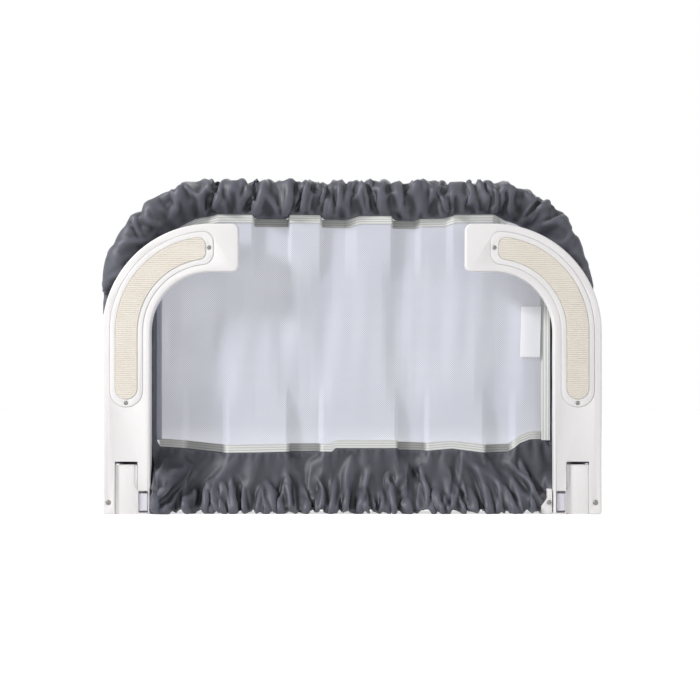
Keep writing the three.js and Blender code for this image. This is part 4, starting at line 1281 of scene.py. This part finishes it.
def makeSleeve():
    whole = railPlace(0)[5]
    columns = round(whole / sleeve["step"]) + 1
    rows = sleeve["rows"]
    places = np.zeros((rows, columns, 3))
    growth = np.ones((rows, columns))
    flat = np.zeros((rows, columns, 2))
    ruffle = waves(11, 5, (22, 38), 0.5)
    wanted, loose = np.zeros(columns), np.zeros(columns)
    outward, centre = np.zeros((columns, 3)), np.zeros((columns, 3))
    cutAlong = 0.0
    step = whole / (columns - 1)
    angles = np.linspace(-math.pi, math.pi, 721)
    reach = np.cos(angles)
    behind = np.maximum(-reach, 0)
    arch = np.sin(np.linspace(0, math.pi, rows))
    for i in range(columns):
        s = i * step
        x, z, outX, outZ, share, _ = railPlace(s)
        onTop = float(smooth(share, *sleeve["topShare"]))
        hug = sleeve["hug"] * onTop
        out = along(sleeve["out"], s - sleeve["foot"]) - hug
        aboveFoot = float(smooth(min(s, whole - s), 1, sleeve["foot"] + sleeve["footFade"]))
        inward = sleeve["footInward"] + (sleeveInward(s) - sleeve["footInward"]) * aboveFoot
        shift = float(netY(x, netEdgeZ(x)) - tube["y"]) if share >= 1 else 0
        # a teardrop, from the front seam over the outside to the back one
        r = np.where(reach > 0, out * reach, inward * reach)
        y = (sleeve["half"] - hug * 0.8) * np.sin(angles) * (1 - sleeve["teardrop"] * behind**2)
        rowLength, r, y, seamShare = evenly(rows, r, y, behind**4)
        bump = sleeve["startWave"] * ruffle(s, rowLength) * arch**0.5 * (0.35 + 0.65 * onTop)
        push = 1 + bump / np.maximum(np.hypot(r, y), 8)
        places[:, i, 0] = x + outX * r * push
        places[:, i, 1] = tube["y"] + y * push + shift * seamShare
        places[:, i, 2] = z + outZ * r * push
        most = sleeve["sideGrowth"]
        if share > 0:
            most = sleeve["bendGrowth"] * (1 - onTop) + sleeve["topGrowth"] * onTop
        atSeam = sleeve["seamGrowth"] * onTop
        growth[:, i] = 1 + atSeam + (most - atSeam) * arch**0.35
        flat[:, i, 0] = cutAlong
        flat[:, i, 1] = rowLength - rowLength[-1] / 2
        cutAlong += (1 + most) * step
        wanted[i] = out + hug - sleeve["skin"]
        outward[i] = outX, 0, outZ
        centre[i] = x, tube["y"], z
        loose[i] = max(0.25 + 0.75 * onTop, 0.8 * float(smooth(share, 0.1, 0.5))) * aboveFoot
    piece, _ = sheetPiece("rail_sleeve", places, flat)
    stations = [railPlace(min(2 * k * step, whole))[:4] for k in range(columns // 2 + 1)]
    rail = railForm("railForm", stations)
    pinned = edgesPinned(rows, columns).ravel()
    settled = simulated(piece, places.reshape(-1, 3), growth.ravel(), pinned, sleeve)
    bpy.data.objects.remove(rail)
    # each ring keeps its folds and reaches as far out as the real outline
    rings = settled.reshape(rows, columns, 3)
    ringReach = np.sum((rings - centre) * outward, axis=2)
    more = np.clip(wanted / ringReach.max(axis=0), *sleeve["ringFit"]) - 1
    rings += (np.maximum(ringReach, 0) * more)[:, :, None] * outward
    settled[:, 1] = np.maximum(settled[:, 1], sleeve["clearY"])
    setPlaces(piece, settled)
    sharp = creaseLines(5, 0, cutAlong, sleeveCreases["sharp"])
    broad = creaseLines(9, 0, cutAlong, sleeveCreases["broad"])
    halfCut = float(rowLength[-1]) / 2

    def heightAt(a, b, at):
        fold = creaseHeight(sharp, a, b) + creaseHeight(broad, a, b)
        fold = np.clip(fold, sleeve["lowest"], sleeve["highest"])
        return fold * np.interp(a, flat[0, :, 0], loose) * smooth(halfCut - np.abs(b), 0, sleeve["seamFade"])

    def shaped(cloth):
        moved = keptOff(creased(cloth, heightAt, tube["topZ"]), tube["radius"] + sleeve["offTube"])
        moved[:, 1] = np.maximum(moved[:, 1], sleeve["clearY"])
        return moved

    clothFinished(piece, shaped, sleeve["thickness"], "top_sleeve", "left_side_sleeve", "right_side_sleeve")
    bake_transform(piece)
    # the creases take up a third more cloth than the last ring measures
    return piece, (cutAlong * mm, float(rowLength[-1]) * mm * sleeve["creaseWidth"])


railSleeve, sleeveFlat = makeSleeve()
print("rail sleeve made")

# Bottom band: cloth round the bottom rail, gathered towards its hem, with a flap in front of the
# left bracket and a notch for each bracket's foot
band = {
    "x0": -263,
    "x1": 262,
    "step": 2.6,
    "rows": 58,
    "railZ": 15.5,
    "railEndX": 250,
    "railSpan": 262,
    "floorGap": 0.6,
    "hemGap": 0.8,
    "hemWave": 0.5,
    "lowestZ": 0.4,
    "deepest": 36,
    "half": 14.6,
    "cutShare": 1.2,
    "seamGrowth": 0.04,
    "hemGrowth": 0.1,
    "growthDrop": (8, 76),
    "fineDrop": (18, 62),
    "flare": {"front": 1.35, "back": 0.15},
    "flareDrop": (30, 74),
    "boxy": 0.6,
    "startWave": 1.0,
    "coarse": 3.4,
    "fine": 2.2,
    "flapEndX": -250.3,
    "flapStartX": -200,
    "flapFade": (-227, -203),
    "flapHang": (44, 79),
    "flapY": -27.6,
    "flapBackY": -24.3,
    "inFlapY": -18,
    "notchZ": 32.2,
    "leftNotchX": -234.2,
    "rightNotchX": 233.4,
    "behindArmX": {"start": 251, "end": 250.5},
    "bending": 3,
    "most": 16,
    "offTube": {"start": 0.6, "end": 1.3},
    "thickness": 0.7,
    "lowest": -5.4,
    "highest": 4.4,
    "seamFade": 10,
    "calmEnds": ((-263, -240), (218, 240)),
    "creaseSpan": (-330, 330),
    "cut": (0.66, 0.225),
}
bandCreases = {
    "gathers": {
        "pitch": 9.5, "slant": 0.42, "bow": 3, "low": (-30, -20), "run": (46, 78),
        "width": (2.2, 3.6), "depth": (2, 4.2),
    },
    "long": {
        "pitch": 30, "slant": 0.5, "bow": 6, "low": (-30, -10), "run": (60, 100),
        "width": (3.4, 6.5), "depth": (3, 5.4),
    },
}


def offBottomRail(places, xs, gap):
    # Moves points that lie within the bottom rail, or its gap, out of it
    reach = places[:, 1:] - np.array([tube["y"], band["railZ"]])
    away = np.maximum(np.linalg.norm(reach, axis=1), nearly)
    out = np.maximum((tube["radius"] + gap) / away, 1)
    out = np.where(np.abs(xs) < band["railEndX"], out, 1)
    places[:, 1:] += reach * (out - 1)[:, None]


def makeBand():
    columns = round((band["x1"] - band["x0"]) / band["step"]) + 1
    rows = band["rows"]
    xs = np.linspace(band["x0"], band["x1"], columns)
    places = np.zeros((rows, columns, 3))
    growth = np.ones((rows, columns))
    flat = np.zeros((rows, columns, 2))
    coarse = waves(23, 4, (30, 55), 0.3)
    fine = waves(31, 5, (14, 22), 0.25)
    hem = waves(47, 4, (19, 36), 0)
    angles = np.linspace(-math.pi, math.pi, 721)
    reach = np.cos(angles)
    behind = np.maximum(-reach, 0)
    # rounder than a circle below the rail, so that the hem hangs down in front of it
    square = np.where(reach > 0, band["boxy"], 1)
    free = np.sin(np.linspace(0, math.pi, rows)) ** 0.6
    front = np.linspace(0, 1, rows) < 0.5
    flare = np.where(front, band["flare"]["front"], band["flare"]["back"])
    for i, x in enumerate(xs):
        seamZ = seams["bottomZ"] + along(seams["bottom"], x)
        out = band["railZ"] - band["floorGap"] - band["hemGap"] - band["hemWave"] * float(hem(x, 0))
        inward = seamZ - band["railZ"]
        shift = float(netY(x, seams["bottomZ"])) - tube["y"]
        r = np.where(reach > 0, out * np.abs(reach) ** square, inward * reach)
        y = band["half"] * np.sign(angles) * np.abs(np.sin(angles)) ** square
        y = y * (1 - sleeve["teardrop"] * behind**2)
        rowLength, r, y, seamShare = evenly(rows, r, y, behind**5)
        drop = inward + r
        low = smooth(drop, *band["fineDrop"])
        folds = coarse(x, drop) * band["coarse"] * (1 - low * 0.5) + fine(x, drop) * band["fine"] * low
        bump = band["startWave"] * free * folds
        z = band["railZ"] - r
        fuller = 1 + flare * smooth(drop, *band["flareDrop"])
        y = tube["y"] + y * (fuller + bump / 15) + shift * seamShare
        forward = float(1 - smooth(x, *band["flapFade"])) if x > band["flapEndX"] else 0
        hang = (1 - smooth(z, *band["flapHang"])) * np.where(front, 1, 0) * smooth(z, -1, 5)
        y = y + (band["flapY"] + bump * 0.8 - y) * forward * hang
        places[:, i, 0] = x
        places[:, i, 1] = y
        places[:, i, 2] = z
        growth[:, i] = 1 + band["seamGrowth"] + band["hemGrowth"] * smooth(drop, *band["growthDrop"])
        flat[:, i, 0] = x * band["cutShare"]
        flat[:, i, 1] = rowLength - rowLength[-1] / 2
    middle = (places[:-1, :-1] + places[1:, 1:]) / 2
    below = middle[:, :, 2] < band["notchZ"]
    rightHole = (middle[:, :, 0] > band["rightNotchX"]) & below
    leftHole = (middle[:, :, 0] < band["leftNotchX"]) & below
    leftHole = leftHole & ((middle[:, :, 1] > band["flapBackY"]) | (middle[:, :, 2] < 1))
    piece, used = sheetPiece("bottom_band", places, flat, ~(rightHole | leftHole))
    railXs = np.linspace(-band["railSpan"], band["railSpan"], 24)
    stations = [(x, band["railZ"], 0, 1) for x in railXs]
    forms = [railForm("bottomRailForm", stations)]
    ground = np.zeros((2, 2, 3))
    ground[:, :, 0] = [[-400, 400], [-400, 400]]
    ground[:, :, 1] = [[-200, -200], [200, 200]]
    ground[:, :, 2] = -1
    forms.append(collider("groundForm", ground))
    pinned = edgesPinned(rows, columns)
    pinned[:, np.argmax(xs > band["flapEndX"])] = 1
    start = places.reshape(-1, 3)[used]
    settled = simulated(piece, start, growth.ravel()[used], pinned.ravel()[used], band)
    for form in forms:
        bpy.data.objects.remove(form)
    offBottomRail(settled, start[:, 0], band["offTube"]["start"])
    settled[:, 2] = np.maximum(settled[:, 2], band["lowestZ"])
    inFront = (start[:, 0] > band["flapEndX"]) & (start[:, 0] < band["flapStartX"])
    settled[inFront, 0] = np.maximum(settled[inFront, 0], band["flapEndX"])
    behindArm = np.abs(start[:, 0]) > band["behindArmX"]["start"]
    settled[behindArm, 1] = np.maximum(settled[behindArm, 1], sleeve["clearY"])
    setPlaces(piece, settled)
    gathers = creaseLines(3, *band["creaseSpan"], bandCreases["gathers"])
    longFolds = creaseLines(17, *band["creaseSpan"], bandCreases["long"])
    halfCut = float(rowLength[-1]) / 2

    def heightAt(a, b, at):
        # the folds start under the hem and run up its front and its back alike
        up = np.abs(b)
        fold = creaseHeight(gathers, a, up) + creaseHeight(longFolds, a, up)
        left, right = band["calmEnds"]
        ends = smooth(at[:, 0], *left) * (1 - smooth(at[:, 0], *right))
        fold = np.clip(fold, band["lowest"], band["highest"])
        return fold * smooth(halfCut - up, 0, band["seamFade"]) * (0.3 + 0.7 * ends)

    def shaped(cloth):
        moved = creased(cloth, heightAt, band["railZ"])
        offBottomRail(moved, moved[:, 0], band["offTube"]["end"])
        moved[:, 1] = np.clip(moved[:, 1], -band["deepest"], band["deepest"])
        moved[:, 2] = np.maximum(moved[:, 2], band["lowestZ"])
        pastArm = np.abs(moved[:, 0]) > band["behindArmX"]["end"]
        inFlap = moved[:, 1] < band["inFlapY"]
        moved[pastArm & (moved[:, 1] < sleeve["clearY"]) & ~inFlap, 1] = sleeve["clearY"]
        return moved

    clothFinished(piece, shaped, band["thickness"], "bottom_sleeve")
    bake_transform(piece)
    return piece


bottomBand = makeBand()
print("bottom band made")

# Net, its tapes and the blank patch
netGrid = {"columns": 271, "rows": 65, "cut": (0.56, 0.29)}
tape = {
    "width": 10,
    "thickness": 0.7,
    "gap": 0.35,
    "step": 1.5,
    "rows": 5,
    "top": (-216, 196),
    "bottom": (-243.4, 238.9),
    "side": {"z": (91, 299.6), "points": 60, "x": {"right": 238.8, "left": 241}, "y": 1.2},
    "sideWidth": {"x": 11.4, "y": 5},
    "smooth": 50,
}
patch = {
    "x0": 212.4,
    "x1": 237.6,
    "z0": 195.6,
    "z1": 260.6,
    "rows": 21,
    "lean": 1.6,
    "teeth": 12,
    "tooth": 1.1,
    "lift": 1.1,
    "stiff": 0.75,
    "thickness": 0.4,
}


def makeNet():
    columns, rows = netGrid["columns"], netGrid["rows"]
    xs = np.linspace(-netEdge["half"], netEdge["half"], columns)
    places = np.zeros((rows, columns, 3))
    flat = np.zeros((rows, columns, 2))
    low = seams["bottomZ"] + along(seams["bottom"], xs)
    top = netEdgeZ(xs) + along(seams["top"], xs)
    flatX = 0
    for i, x in enumerate(xs):
        z = np.linspace(low[i], top[i], rows)
        places[:, i, 0] = x
        places[:, i, 1] = netY(x, z)
        places[:, i, 2] = z
        if i:
            flatX += np.hypot(x - xs[i - 1], places[rows // 2, i, 1] - places[rows // 2, i - 1, 1])
        flat[:, i, 0] = flatX
        flat[:, i, 1] = z
    piece, _ = sheetPiece("side_net", places, flat)
    pick(piece)
    bpy.ops.object.shade_smooth()
    dressed(piece, netFabric, "net_fabric", "mesh_panel")
    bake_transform(piece)
    return piece


def tapePiece(name, points, widthways, node):
    # Tape along a line of (x, y, z) points, its width set off from them
    points = np.asarray(points)
    places = np.zeros((tape["rows"], len(points), 3))
    flat = np.zeros((tape["rows"], len(points), 2))
    run = np.concatenate([[0], np.cumsum(np.linalg.norm(np.diff(points, axis=0), axis=1))])
    for k, share in enumerate(np.linspace(0, 1, tape["rows"])):
        places[k] = points + np.asarray(widthways) * share
        flat[k, :, 0] = run
        flat[k, :, 1] = share * tape["width"]
    piece, _ = sheetPiece(name, places, flat)
    applied(piece, "SOLIDIFY", thickness=tape["thickness"] * mm, offset=0)
    smoothed(piece, tape["smooth"])
    dressed(piece, bindingTape, "binding_tape", node)
    return piece


def makeTapes():
    lift = tape["thickness"] / 2 + tape["gap"]
    xs = np.arange(*tape["top"], tape["step"])
    edge = netEdgeZ(xs) + along(seams["top"], xs)
    past = np.clip(np.abs(xs) - netEdge["bendX"], 0, None) * np.sign(xs)
    across = np.stack([past, xs * 0, edge - netEdge["bendZ"]], axis=1)
    across *= tape["width"] / np.linalg.norm(across, axis=1)[:, None]
    points = np.stack([xs, netY(xs, netEdgeZ(xs)) - lift, edge], axis=1) - across
    top = tapePiece("top_seam_tape", points, across, "top_binding")
    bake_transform(top)
    xs = np.arange(*tape["bottom"], tape["step"])
    z = seams["bottomZ"] + along(seams["bottom"], xs)
    points = np.stack([xs, netY(xs, seams["bottomZ"]) - lift, z], axis=1)
    low = tapePiece("bottom_seam_tape", points, (0, 0, tape["width"]), "bottom_binding")
    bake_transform(low)
    tapes = [top, low]
    place, reach = tape["side"], tape["sideWidth"]
    zs = np.linspace(*place["z"], place["points"])
    for side, sign in sides.items():
        # the right tape lies in front of the net and the left one behind it
        xs = np.full(len(zs), sign * place["x"][side])
        points = np.stack([xs, np.full(len(zs), tube["y"] - place["y"] * sign), zs], axis=1)
        across = (sign * reach["x"], -reach["y"] * sign, 0)
        piece = tapePiece(f"{side}_side_tape", points, across, f"{side}_side_binding")
        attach(piece, f"{side}_half")
        tapes.append(piece)
    return tapes


def makePatch():
    columns = patch["teeth"] * 2 + 1
    rows = patch["rows"]
    xs = np.linspace(patch["x0"], patch["x1"], columns)
    places = np.zeros((rows, columns, 3))
    flat = np.zeros((rows, columns, 2))
    for i, x in enumerate(xs):
        tooth = patch["tooth"] * (i % 2)
        z = np.linspace(patch["z0"] + tooth, patch["z1"] - tooth, rows)
        places[:, i, 0] = x + patch["lean"] * (z - patch["z0"]) / (patch["z1"] - patch["z0"])
        places[:, i, 1] = netY(x, z) - patch["lift"]
        places[:, i, 2] = z
        flat[:, i, 0] = x
        flat[:, i, 1] = z
    # stiffer than the net, so it bridges the net's small waves
    places[:, :, 1] += (places[:, :, 1].min() - places[:, :, 1]) * patch["stiff"]
    piece, _ = sheetPiece("blank_sewn_patch", places, flat)
    applied(piece, "SOLIDIFY", thickness=patch["thickness"] * mm, offset=0)
    finished(piece, patchSatin, "patch_fabric", "right_half", "blank_patch", tape["smooth"])
    return piece


sideNet = makeNet()
seamTapes = makeTapes()
blankPatch = makePatch()
print("net, tapes and patch made")
